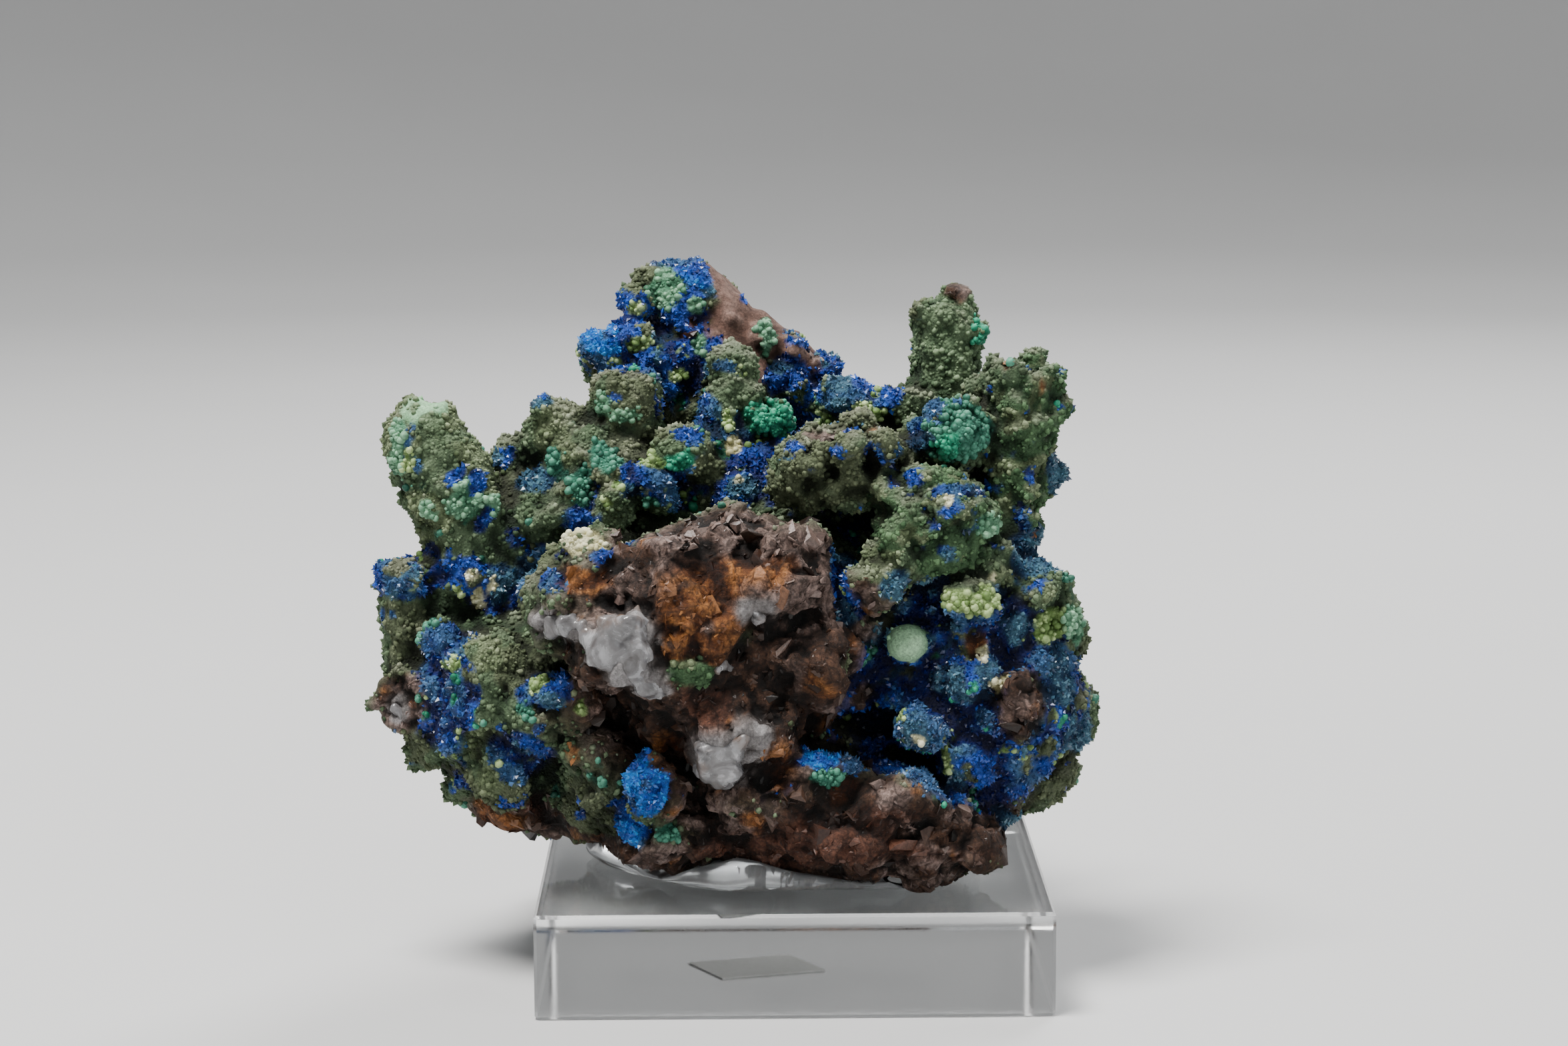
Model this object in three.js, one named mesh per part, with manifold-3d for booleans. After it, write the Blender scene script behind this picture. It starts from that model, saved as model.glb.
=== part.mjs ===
// An azurite and malachite specimen: quartz crystals coated with green malachite stand on a lump of
// brown iron oxide and quartz, with crusts of blue azurite crystals between them. The specimen is one
// natural solid. Clear adhesive holds it on a clear block with a plain paper label underneath.
// Millimetres, +Z up, the viewer in front at -Y. The rock is modelled over the middle of the block,
// and the exported group is then moved so that its origin is under the middle of the whole object,
// on the surface that the block stands on.
import * as THREE from "three";
import { ConvexGeometry } from "three/addons/geometries/ConvexGeometry.js";
import { mergeVertices } from "three/addons/utils/BufferGeometryUtils.js";
import Module from "manifold-3d";

const wasm = await Module();
wasm.setup();

// Driving dimensions
const BLOCK_SIDE = 63.5;
const BLOCK_HEIGHT = 13;
const BLOCK_CHAMFER = 0.4;
const LABEL = { width: 14, depth: 12, thickness: 0.1, x: -4.6, y: 2.8, turn: 21.5 };
const LABEL_GAP = 0.03;
const PAD_HEIGHT = 5;
const PAD_ROUND = 1.4;
const REST_GAP = 0.3;
const ROCK_FLOOR = BLOCK_HEIGHT + REST_GAP;
const FAR_OUT = 80;

// A seeded generator of numbers from 0 to 1, so that the part is the same at every build.
function seeded(seed) {
  let state = seed * 2654435761;
  return () => {
    state = (state + 0x6d2b79f5) | 0;
    let t = Math.imul(state ^ (state >>> 15), 1 | state);
    t = (t + Math.imul(t ^ (t >>> 7), 61 | t)) ^ t;
    return ((t ^ (t >>> 14)) >>> 0) / 4294967296;
  };
}

const vector = ([x, y, z]) => new THREE.Vector3(x, y, z);

// A closed three.js geometry as a manifold-3d solid.
function solidOf(geometry) {
  const bare = new THREE.BufferGeometry();
  bare.setAttribute("position", geometry.getAttribute("position"));
  if (geometry.index) bare.setIndex(geometry.index);
  const merged = mergeVertices(bare, 1e-4);
  return new wasm.Manifold(
    new wasm.Mesh({
      numProp: 3,
      vertProperties: new Float32Array(merged.attributes.position.array),
      triVerts: new Uint32Array(merged.index.array),
    }),
  );
}

// A solid as a flat-shaded three.js geometry.
function geometryOf(solid) {
  const { vertProperties, triVerts } = solid.getMesh();
  const indexed = new THREE.BufferGeometry();
  indexed.setAttribute("position", new THREE.BufferAttribute(vertProperties, 3));
  indexed.setIndex(new THREE.BufferAttribute(triVerts, 1));
  const geometry = indexed.toNonIndexed();
  geometry.computeVertexNormals();
  return geometry;
}

const joined = (solids) => solids.reduce((whole, piece) => whole.add(piece));

// The outermost surface of a solid, without the slivers of air that crystals trap where they meet.
function outerShell(solid) {
  const { vertProperties, triVerts } = solid.getMesh();
  const leader = Array.from({ length: vertProperties.length / 3 }, (_, i) => i);
  const leaderOf = (i) => {
    while (leader[i] !== i) i = leader[i] = leader[leader[i]];
    return i;
  };
  for (let i = 0; i < triVerts.length; i += 3) {
    leader[leaderOf(triVerts[i + 1])] = leaderOf(triVerts[i]);
    leader[leaderOf(triVerts[i + 2])] = leaderOf(triVerts[i]);
  }
  const corners = new Map();
  for (const i of triVerts) corners.set(leaderOf(i), (corners.get(leaderOf(i)) ?? 0) + 1);
  const [[outermost]] = [...corners].sort((a, b) => b[1] - a[1]);
  const kept = triVerts.filter((i) => leaderOf(i) === outermost);
  return new wasm.Manifold(new wasm.Mesh({ numProp: 3, vertProperties, triVerts: kept }));
}

// Points spread evenly over a ball, on a spiral of golden-angle turns.
const GOLDEN_ANGLE = Math.PI * (3 - Math.sqrt(5));
function spiralPoints(count) {
  return Array.from({ length: count }, (_, i) => {
    const height = 1 - (2 * (i + 0.5)) / count;
    const around = Math.sqrt(1 - height * height);
    return new THREE.Vector3(
      around * Math.cos(i * GOLDEN_ANGLE),
      around * Math.sin(i * GOLDEN_ANGLE),
      height,
    );
  });
}

// Broken rock: a convex chunk whose corners are scattered about an ellipsoid, with flat breaks between.
function boulder(centre, radii, corners, seed) {
  const random = seeded(seed);
  const points = spiralPoints(corners).map((point) => {
    const scatter = new THREE.Vector3(random() - 0.5, random() - 0.5, random() - 0.5);
    point.addScaledVector(scatter, 0.5).normalize();
    point.multiplyScalar(0.92 + 0.16 * random());
    return point.multiply(vector(radii)).add(vector(centre));
  });
  return solidOf(new ConvexGeometry(points));
}

const boulders = (seed, rows) =>
  rows.map(([centre, radii, corners], i) => boulder(centre, radii, corners, seed + i));

// A rounded lump of mineral: a ball with its surface pushed in and out.
function lump(centre, radii, seed, detail = 1) {
  const random = seeded(seed);
  const geometry = mergeVertices(
    new THREE.IcosahedronGeometry(1, detail).deleteAttribute("normal").deleteAttribute("uv"),
    1e-4,
  );
  const turn = new THREE.Quaternion().setFromEuler(
    new THREE.Euler(6 * random(), 6 * random(), 6 * random()),
  );
  const position = geometry.getAttribute("position");
  const point = new THREE.Vector3();
  for (let i = 0; i < position.count; i++) {
    point.fromBufferAttribute(position, i).applyQuaternion(turn);
    point.multiplyScalar(0.86 + 0.28 * random());
    point.multiply(vector(radii)).add(vector(centre));
    position.setXYZ(i, point.x, point.y, point.z);
  }
  return solidOf(geometry);
}

const lumps = (seed, detail, rows) =>
  rows.map(([centre, radii], i) => lump(centre, radii, seed + i, detail));

// A prismatic crystal under its coat: six sides in uneven rings from foot to shoulder, then a point.
// A blunt crystal, whose point has broken off, has an end face at its shoulder.
function crystal({ foot, tip, radius, top = radius, point = 0, lean = [0, 0, 0], rings = 3 }, seed) {
  const random = seeded(seed);
  const sides = 6;
  const axis = vector(tip).sub(vector(foot));
  const length = axis.length();
  const turn = new THREE.Quaternion().setFromUnitVectors(
    new THREE.Vector3(0, 0, 1),
    axis.normalize(),
  );
  const roll = random();
  const place = (x, y, z) => new THREE.Vector3(x, y, z).applyQuaternion(turn).add(vector(foot));
  const points = [];
  for (let ring = 0; ring <= rings; ring++) {
    const share = ring / rings;
    for (let side = 0; side < sides; side++) {
      const angle = ((side + roll) * 2 * Math.PI) / sides;
      const reach = THREE.MathUtils.lerp(radius, top, share) * (0.93 + 0.14 * random());
      const rise = (length - point) * share + (ring ? 0.1 * radius * (random() - 0.5) : 0);
      points.push(place(reach * Math.cos(angle), reach * Math.sin(angle), rise));
    }
  }
  points.push(place(0, 0, 0));
  points.push(place(0, 0, length).add(vector(lean)));
  const [footCentre, summit] = [points.length - 2, points.length - 1];
  const faces = [];
  for (let side = 0; side < sides; side++) {
    const next = (side + 1) % sides;
    for (let ring = 0; ring < rings; ring++) {
      const [low, high] = [ring * sides, (ring + 1) * sides];
      faces.push(low + side, low + next, high + next);
      faces.push(low + side, high + next, high + side);
    }
    faces.push(footCentre, next, side);
    faces.push(rings * sides + side, rings * sides + next, summit);
  }
  const geometry = new THREE.BufferGeometry().setFromPoints(points);
  geometry.setIndex(faces);
  return solidOf(geometry);
}

const crystals = (seed, rows) => rows.map((row, i) => crystal(row, seed + i));

// The broken lump of iron oxide that everything grows on.
function matrix() {
  return boulders(100, [
    [[-4, 2, 40], [29, 22, 21], 34], // heart
    [[-7, 16, 42], [29, 14, 24], 30], // back
    [[-12, -1, 25], [24, 20, 11], 26], // underside
    [[-34, -3, 34], [16, 13, 13], 26], // left shoulder
    [[-37, -4, 26.5], [8, 9, 7], 16], // left, low
    [[-28, -3, 20], [9, 9, 5], 14], // left foot
    [[-34.5, -5, 20.8], [5, 6, 4.2], 12], // tip of the left foot
    [[-3, 6, 55], [27, 13, 12], 26], // crown
    [[19, -2, 38], [17, 16, 20], 30], // right shoulder
    [[26, -8, 33], [12, 13, 13.5], 26], // right, low
    [[28, -7, 45], [8.5, 11, 9], 18], // right, middle
    [[22, -1, 57], [10, 10, 11], 20], // foot of the right crystals
    [[8, 4, 62], [12, 9, 9], 18], // saddle between the peak and the right crystals
    [[-31, 2, 56], [7, 8, 9], 16], // valley beside the left finger
    // ledges and breaks of the back
    [[-15, 25, 50], [10, 6.5, 8], 14],
    [[7, 24, 54], [9, 7, 8], 14],
    [[-25, 20, 37], [9, 8, 9], 14],
    [[10, 24, 34], [11, 7.5, 9], 16],
    [[-6, 24, 28], [11, 6, 7], 14],
    [[26, 6, 42], [9, 9, 8], 14],
  ]);
}

// The front of the lump: a nose of quartz and limonite over a thick dark lip.
function nose() {
  return boulders(140, [
    [[-10, -14, 44], [16, 14, 17], 28],
    [[-14, -19, 50], [11, 9.5, 9], 18],
    [[-25, -16, 49], [9, 9, 8], 18],
    [[-2, -17, 52], [9, 9, 9], 18],
    [[-20, -22, 44], [9, 7, 7], 14],
    [[-6, -22, 34], [9, 6, 7], 16],
    [[2, -20, 43], [6.5, 8, 8], 14],
    [[-4, -22, 25], [8, 6, 6], 14],
    [[7, -15.5, 20.9], [19, 12, 7.5], 26],
    [[17, -18, 19], [10, 8, 6], 18],
    [[15, -18, 16], [7, 6, 4], 12],
    [[-15, -15, 19.5], [10, 10, 6], 16],
    [[-2, -15, 21.5], [9, 9, 5], 14],
    [[2, -22, 27], [9, 5, 4], 14],
    [[14, -23, 25], [6, 4, 4], 12],
  ]);
}

// The brown peak behind, with its smooth break to the right.
function peak() {
  return boulders(170, [
    [[-9, 19, 71], [12, 9, 12], 20],
    [[-11.5, 20, 81], [7.5, 7, 8], 16],
    [[-3.4, 20, 74], [7.4, 7, 7], 14],
    [[1.5, 20, 70.5], [6.5, 7, 7], 14],
    [[-20, 15, 74.5], [8, 7, 5.5], 14],
    [[-17, 20, 85.6], [4, 4, 2.4], 10],
  ]);
}

// Quartz crystals under malachite, whole or broken.
function coatedCrystals() {
  return crystals(30, [
    // left finger
    { foot: [-36, 1, 44], tip: [-45.8, 0, 67], radius: 6.5, top: 6.1, point: 3 },
    { foot: [-46, 0, 58], tip: [-48, 0, 73.4], radius: 5.6, top: 4.8, point: 4.4, rings: 2 },
    // left column and the crystal beside it
    { foot: [-47.6, -2, 32], tip: [-49.3, -3, 51.4], radius: 3.9, top: 3.7 },
    { foot: [-42, -1, 34], tip: [-43.2, -2, 51], radius: 3.4, top: 3, rings: 2 },
    // left knob, broken off to the front
    { foot: [-42.4, 5, 34], tip: [-48.8, -9, 34.8], radius: 4.8, top: 4.4, rings: 2 },
    // blunt stub on the ridge
    { foot: [-20.6, 5, 60], tip: [-21, 3.6, 75], radius: 4.9, top: 4.7, rings: 2 },
    // cone in front of the peak
    { foot: [-8, 5, 62], tip: [-6.8, 5, 79.4], radius: 5.4, top: 2.7, point: 1.6 },
    // right finger, its spur and its broken end
    { foot: [19.8, 5, 60], tip: [20.2, 6, 83], radius: 5, top: 4.3 },
    { foot: [20, 6, 81], tip: [15.8, 5, 84], radius: 1.6, top: 0.8, rings: 1 },
    { foot: [20.8, 6, 81], tip: [22, 6, 85.6], radius: 2.7, top: 2.2, rings: 1 },
    // right horn and its two points
    { foot: [26.6, -8, 50], tip: [29.4, -5, 76], radius: 3.4, top: 4.8 },
    { foot: [30.6, -4, 73], tip: [31.2, -4, 78.8], radius: 2.4, top: 1, rings: 1 },
    { foot: [26.4, -5, 73], tip: [25.6, -5, 78.3], radius: 2, top: 0.9, rings: 1 },
    // small crystals behind, leaning away
    { foot: [-20, 22, 54], tip: [-23, 30, 62], radius: 4, top: 3.4, rings: 1 },
    { foot: [13, 22, 50], tip: [17, 28, 60], radius: 4.4, top: 3.6, rings: 1 },
    { foot: [-32, 12, 40], tip: [-39, 17, 46], radius: 4, top: 3, rings: 1 },
    { foot: [28, 4, 40], tip: [33, 11, 45], radius: 3.6, top: 3, rings: 1 },
  ]);
}

// Large masses of botryoidal malachite.
function masses() {
  return lumps(200, 1, [
    [[-24, 2, 63], [8, 7, 6]], // the curtained mass under the stub
    [[-29.5, 4, 67.5], [4.6, 4.4, 4.6]],
    [[6.4, -9, 65], [8.6, 6, 5]], // the brow over the nose
    [[20.6, -8, 68], [4.2, 4, 4.6]],
    [[17.6, -14, 58.5], [7, 6, 6.4]],
    [[33.4, -9, 43.6], [4, 4, 4]],
    [[35, -9, 33], [4, 4.6, 4.6]],
    [[30, -10, 24.6], [4.2, 5, 4.2]],
    [[-32, -14, 34], [5.4, 5, 5]],
    [[-36, -12, 27], [3.6, 4, 6]],
    [[-24, -17, 28], [4.6, 4.4, 5]],
  ]);
}

// Ledges, shelves and small lumps.
function ledges() {
  return lumps(230, 0, [
    [[-26.5, -4, 59.5], [2.4, 2.6, 5]],
    [[-22, -5, 60], [2.8, 2.6, 4.6]],
    [[-17.5, -4, 62], [3.4, 3, 4]],
    [[-13.5, -2, 66], [4.4, 4, 3.6]],
    [[-35.6, 5, 64.5], [2.8, 2.8, 3.2]],
    [[-31.4, -3, 57.4], [4, 3.6, 2.6]],
    [[-35, 3, 60], [3, 3, 3]],
    [[7.4, 4, 71.4], [4, 3.6, 3]],
    [[15.3, 3, 70.6], [4.2, 3.8, 3.4]],
    [[1, -10, 63], [4, 4, 3.4]],
    [[12, -8, 65.5], [4.4, 4, 3.6]],
    [[16.5, -6, 67], [3, 3, 3.4]],
    [[13, -17, 54], [5, 4, 4]],
    [[23.5, -13, 53], [5.5, 5, 5]],
    [[10, -19, 51], [4, 3.6, 3.6]],
    [[32.6, -5, 71.5], [2.4, 3, 3.4]],
    [[32.4, -2, 61], [2.2, 2.6, 3]],
    [[14.2, -19.5, 44.4], [2.6, 4.6, 2.3]],
    [[22, -18, 49], [3.6, 3, 3]],
    [[30.5, -12, 50], [3.6, 4, 3.4]],
    [[28, -17, 35.4], [2.6, 5, 3.8]],
    [[16.4, -19, 33], [3.6, 5, 3.2]],
    [[22.4, -17, 40], [4, 5, 4]],
    [[22, -17, 28.6], [5, 4, 3.6]],
    [[-38, -12, 40], [5, 5, 4.6]],
    [[-27, -17, 37], [4.6, 4.6, 4]],
    [[-45.6, -5, 29], [4.4, 4.6, 4]],
    [[-44.4, -8, 43], [3, 3, 3]],
    [[-17, -23, 27], [3.6, 3.4, 5]],
  ]);
}

// Hollows that are dark in the front, and three at the back.
function hollows() {
  return lumps(260, 0, [
    [[9.6, -23, 35], [4.6, 6, 3.6]],
    [[3.4, -27, 47.4], [3, 4.4, 2.4]],
    [[-22.6, -22, 33], [2.4, 4, 3]],
    [[0.6, -17.5, 60.6], [4, 4, 2]],
    [[-28.4, -8, 53.4], [3, 4, 2]],
    [[-5, 33, 44], [5, 6, 4]],
    [[17, 29, 42], [5, 5, 4]],
    [[-21, 31, 30], [5, 5, 4]],
  ]);
}

// Where rays towards a disc on the rock meet its surface. The disc faces along "facing".
function patch(rock, { at, facing, reach, count }, seed) {
  const random = seeded(seed);
  const outward = vector(facing).normalize();
  const turn = new THREE.Quaternion().setFromUnitVectors(new THREE.Vector3(0, 0, 1), outward);
  const caster = new THREE.Raycaster();
  const seats = [];
  for (let i = 0; i < count; i++) {
    const distance = reach * Math.sqrt((i + 0.5) / count);
    const angle = i * GOLDEN_ANGLE + random();
    const start = new THREE.Vector3(distance * Math.cos(angle), distance * Math.sin(angle), 0)
      .applyQuaternion(turn)
      .add(vector(at))
      .addScaledVector(outward, FAR_OUT);
    caster.set(start, outward.clone().negate());
    const [hit] = caster.intersectObject(rock);
    if (hit && hit.distance < FAR_OUT + reach) seats.push({ point: hit.point, normal: hit.face.normal });
  }
  return seats;
}

// A bunch of small lumps grown over a patch, as botryoidal malachite is.
function grapes(rock, place, size, seed) {
  const random = seeded(seed + 7);
  return patch(rock, place, seed).map(({ point }, i) => {
    const radius = size * (0.7 + 0.6 * random());
    return lump(point.toArray(), [radius, radius, radius], seed * 31 + i, 0);
  });
}

// Azurite crystals on a patch: stretched octahedra that stand out of it, tilted each its own way.
function druse(rock, place, size, seed) {
  const random = seeded(seed + 7);
  return patch(rock, place, seed).map(({ point, normal }) => {
    const tilt = new THREE.Vector3(random() - 0.5, random() - 0.5, random() - 0.5);
    const direction = normal.clone().addScaledVector(tilt, 1.4).normalize();
    const long = size * (0.7 + 0.7 * random());
    const geometry = new THREE.OctahedronGeometry(1, 0);
    geometry.scale(0.45 * long, 0.65 * long, long);
    geometry.rotateZ(6 * random());
    geometry.applyQuaternion(
      new THREE.Quaternion().setFromUnitVectors(new THREE.Vector3(0, 0, 1), direction),
    );
    geometry.translate(point.x, point.y, point.z);
    return solidOf(geometry);
  });
}

// Patches of malachite grapes: place, facing, reach of the patch, how many, size of one.
const GRAPES = [
  [[-25, -4, 62], [-0.2, -1, 0.4], 7, 5, 1.9],
  [[6, -12, 65], [0, -1, 0.4], 8, 6, 2],
  [[18, -18, 59], [0.1, -1, 0.4], 6.5, 5, 2],
  [[-33, -14, 38], [-0.5, -1, 0], 8, 6, 1.8],
  [[14, -24, 47], [0, -1, 0.3], 6, 3, 1.8],
  [[32, -14, 46], [0.7, -1, 0.3], 6, 4, 1.8],
  [[-4, 32, 56], [0, 1, 0.5], 14, 5, 3],
  [[-32, 18, 36], [-0.8, 1, 0.1], 10, 4, 2.6],
];

// Patches of azurite crystals: place, facing, reach of the patch, how many, size of one.
const AZURITE = [
  [[-20, 14, 77], [-0.4, -1, 0.5], 7, 7, 2.2],
  [[3, 16, 72], [0.4, -1, 0.2], 4.5, 4, 2],
  [[-49, -3, 51], [0, -0.4, 1], 4, 3, 1.8],
  [[-41, -10, 46], [-0.2, -1, 0.5], 7, 5, 2],
  [[-16, -22, 27], [-0.1, -1, 0], 4.5, 4, 2],
  [[-2, 0, 69], [0, -0.6, 1], 6, 4, 1.9],
  [[20, -20, 38], [0, -1, 0], 9, 7, 2.2],
  [[29, -16, 30], [0.5, -1, -0.1], 7, 4, 1.9],
  [[8, 30, 46], [0.2, 1, 0.2], 10, 5, 2.4],
  [[-18, 30, 38], [-0.2, 1, 0], 9, 4, 2.4],
];

const growOver = (rock, grow, rows, seed) =>
  rows.flatMap(([at, facing, reach, count, size], i) =>
    grow(rock, { at, facing, reach, count }, size, seed + i),
  );

function specimen() {
  const grown = [...matrix(), ...nose(), ...peak(), ...coatedCrystals(), ...masses(), ...ledges()];
  const rock = joined(grown).subtract(joined(hollows()));
  const surface = new THREE.Mesh(geometryOf(rock));
  const growths = [
    ...growOver(surface, grapes, GRAPES, 300),
    ...growOver(surface, druse, AZURITE, 400),
  ];
  const floor = new THREE.BoxGeometry(2 * FAR_OUT, 2 * FAR_OUT, 2 * ROCK_FLOOR);
  return outerShell(joined([rock, ...growths]).subtract(solidOf(floor)));
}

// The clear block: a square slab with small chamfers on every edge, and a shallow recess for the label.
function block() {
  const half = BLOCK_SIDE / 2;
  const [inner, middle] = [half - BLOCK_CHAMFER, BLOCK_HEIGHT / 2];
  const points = [];
  for (const [x, y] of [[-1, -1], [-1, 1], [1, -1], [1, 1]]) {
    for (const z of [-1, 1]) {
      points.push(new THREE.Vector3(x * inner, y * inner, middle + z * middle));
      points.push(new THREE.Vector3(x * half, y * inner, middle + z * (middle - BLOCK_CHAMFER)));
      points.push(new THREE.Vector3(x * inner, y * half, middle + z * (middle - BLOCK_CHAMFER)));
    }
  }
  const recess = labelPlate(LABEL_GAP, -1, LABEL.thickness + 2 * LABEL_GAP);
  return solidOf(new ConvexGeometry(points)).subtract(solidOf(recess));
}

// The label's outline, grown by a margin all round, between two heights.
function labelPlate(margin, low, high) {
  const plate = new THREE.BoxGeometry(LABEL.width + 2 * margin, LABEL.depth + 2 * margin, high - low);
  plate.rotateZ(THREE.MathUtils.degToRad(LABEL.turn));
  return plate.translate(LABEL.x, LABEL.y, (low + high) / 2);
}

// The pool of clear adhesive between the block and the rock, rounded at its rim.
const PAD_OUTLINE = [
  [-27, -2], [-20, -15], [-7, -24], [3, -21.5], [14, -23],
  [22, -16], [24, 2], [15, 16], [-5, 20], [-20, 12],
];
function adhesive(rock) {
  const rim = new THREE.CatmullRomCurve3(PAD_OUTLINE.map(([x, y]) => new THREE.Vector3(x, y, 0)), true);
  const middle = new THREE.Vector3(-1, -2, 0);
  const inwards = (point, step) => point.clone().sub(middle).setLength(point.distanceTo(middle) - step);
  const points = rim.getPoints(20).flatMap((point) => [
    inwards(point, 0).add(middle).setZ(BLOCK_HEIGHT),
    inwards(point, 0).add(middle).setZ(BLOCK_HEIGHT + PAD_HEIGHT - PAD_ROUND),
    inwards(point, PAD_ROUND).add(middle).setZ(BLOCK_HEIGHT + PAD_HEIGHT),
  ]);
  const pool = solidOf(new ConvexGeometry(points));
  return pool.subtract(rock).subtract(rock.translate([0, 0, -REST_GAP]));
}

const root = new THREE.Group();
function node(name, geometry, color, roughness, metalness = 0) {
  const mesh = new THREE.Mesh(
    geometry,
    new THREE.MeshStandardMaterial({ color, roughness, metalness }),
  );
  mesh.name = name;
  root.add(mesh);
}

const rock = specimen();
node("specimen", geometryOf(rock), 0x55604a, 0.8);
node("adhesive", geometryOf(adhesive(rock)), 0xf2f2ea, 0.1);
node("acrylic_block", geometryOf(block()), 0xf0f4f6, 0.05);
node("label", labelPlate(0, LABEL_GAP, LABEL_GAP + LABEL.thickness), 0xf4f4f0, 0.7);

// The origin goes under the middle of the whole object.
const middle = new THREE.Box3().setFromObject(root).getCenter(new THREE.Vector3());
root.position.set(-middle.x, -middle.y, 0);

export default root;
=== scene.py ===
import math

import bmesh
import bpy
import numpy as np
from mathutils import Matrix, Vector


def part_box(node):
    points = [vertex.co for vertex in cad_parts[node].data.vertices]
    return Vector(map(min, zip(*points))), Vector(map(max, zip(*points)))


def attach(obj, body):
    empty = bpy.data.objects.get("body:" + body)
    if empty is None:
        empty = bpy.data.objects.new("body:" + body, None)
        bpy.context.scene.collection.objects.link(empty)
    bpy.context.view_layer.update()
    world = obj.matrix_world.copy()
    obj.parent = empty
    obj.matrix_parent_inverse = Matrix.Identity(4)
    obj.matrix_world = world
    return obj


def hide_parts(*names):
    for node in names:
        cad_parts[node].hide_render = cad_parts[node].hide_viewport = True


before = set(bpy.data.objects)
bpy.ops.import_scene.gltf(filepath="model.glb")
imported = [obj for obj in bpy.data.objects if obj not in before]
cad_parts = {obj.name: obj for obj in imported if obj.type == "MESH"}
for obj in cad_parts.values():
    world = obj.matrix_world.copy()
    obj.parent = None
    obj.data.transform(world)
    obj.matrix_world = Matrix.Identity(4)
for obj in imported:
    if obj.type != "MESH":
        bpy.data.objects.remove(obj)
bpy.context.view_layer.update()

MM = 0.001
BLOCK_LOW, BLOCK_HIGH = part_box("acrylic_block")
BLOCK_TOP = BLOCK_HIGH.z / MM
ORIGIN = np.array([(BLOCK_LOW.x + BLOCK_HIGH.x) / 2, (BLOCK_LOW.y + BLOCK_HIGH.y) / 2, 0.0])

# The camera: where it stands, which way it looks and how long its lens is.
CAMERA_AT = (-6.0, -457.0, 127.0)
CAMERA_YAW = 0.657
CAMERA_PITCH = 8.811
CAMERA_ROLL = 0.25
FOCAL_PX = 5412
IMAGE_WIDTH_PX = 2350
SENSOR_WIDTH = 36

# The stage, in metres.
FLOOR_LEVEL = -0.00005
FLOOR_FLAT = 0.9
FLOOR_CURVE = 1.2
WALL_TOP = 1.4
CURVE_STEPS = 12
FLOOR_STEPS = 96

# The lights: a name, where each hangs, where it points, its size, its power and its colour.
LIGHTS = [
    ("key", (-0.22, -0.16, 0.85), (0, 0, 0.05), 0.3, 17, (1.0, 0.985, 0.96)),
    ("fill", (0.7, -0.6, 0.5), (0, 0, 0.05), 0.6, 2.6, (0.93, 0.97, 1.0)),
    ("rim", (0.25, 0.55, 0.65), (0, 0, 0.06), 0.35, 7, (1.0, 1.0, 1.0)),
]
SKY_COLOUR = (0.86, 0.88, 0.90, 1)
SKY_STRENGTH = 0.42

# Grain of the modelled surface.
BASE_VOXEL = 0.75
SKIN_VOXEL = 0.49
QUARTZ_VOXEL = 0.3
POOL_VOXEL = 0.6

# How far the bumps of the rock's surface may go in and out.
LIFT_IN = -1.1
LIFT_OUT = 0.9

# Each bulge is a core and some lumps round it.
CORE_SHARE = 0.62
BULGE_LUMPS = 16

# How high the label's two faces lie over the block's underside.
LABEL_BOTTOM = 0.04
LABEL_TOP = 0.22


def put(points):
    return np.asarray(points, float) * MM + ORIGIN


def take(points):
    return (np.asarray(points, float) - ORIGIN) / MM


# Noise that is the same at every run.
def hashed(cell, seed):
    x, y, z = (cell[:, i].astype(np.uint32) for i in range(3))
    h = x * np.uint32(73856093) ^ y * np.uint32(19349663) ^ z * np.uint32(83492791)
    h ^= np.uint32((seed * 2654435761) % 2**32)
    h ^= h >> np.uint32(15)
    h *= np.uint32(2246822519)
    h ^= h >> np.uint32(13)
    h *= np.uint32(3266489917)
    h ^= h >> np.uint32(16)
    return h.astype(np.float32) / np.float32(2**32)


def noise(points, size, seed):
    """Smooth noise from -1 to 1, with bumps about as wide as size."""
    place = np.asarray(points) / size
    base = np.floor(place).astype(np.int64)
    t = (place - base).astype(np.float32)
    t = t * t * (3 - 2 * t)
    total = np.zeros(len(place), np.float32)
    for corner in np.ndindex(2, 2, 2):
        weight = np.prod([t[:, i] if corner[i] else 1 - t[:, i] for i in range(3)], axis=0)
        total += weight * hashed(base + np.array(corner), seed)
    return 2 * total - 1


def rough(points, size, seed, octaves=3):
    """Noise on noise, each half as wide and half as strong."""
    layers = [noise(points, size / 2**i, seed + i) / 2**i for i in range(octaves)]
    return np.sum(layers, axis=0) / (2 - 2 ** (1 - octaves))


def cells(points, size, seed):
    """Rounded cells: how far each point is from its cell's middle, the way there, and three random
    numbers from -1 to 1 that are the same all over the cell."""
    place = np.asarray(points) / size
    base = np.floor(place).astype(np.int64)
    nearest = np.full(len(place), 9.0)
    way = np.zeros((len(place), 3))
    kept = base.copy()
    for step in np.ndindex(3, 3, 3):
        cell = base + np.array(step) - 1
        middle = cell + 0.1 + 0.8 * np.stack([hashed(cell, seed + i) for i in range(3)], axis=1)
        gap = place - middle
        distance = np.einsum("ij,ij->i", gap, gap)
        closer = distance < nearest
        nearest[closer] = distance[closer]
        way[closer] = gap[closer]
        kept[closer] = cell[closer]
    own = np.stack([hashed(kept, seed + 7 + i) for i in range(3)], axis=1)
    return np.sqrt(nearest), way, 2 * own - 1


def unit(vectors):
    """The vectors, each made one long."""
    return vectors / np.linalg.norm(vectors, axis=-1, keepdims=True)


def pushed(points, size, reach, seed):
    """The points, each moved a little by noise."""
    return points + reach * np.stack([noise(points, size, seed + i) for i in range(3)], axis=1)


def smoothstep(x, low, high):
    t = np.clip((x - low) / (high - low), 0, 1)
    return t * t * (3 - 2 * t)


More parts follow.
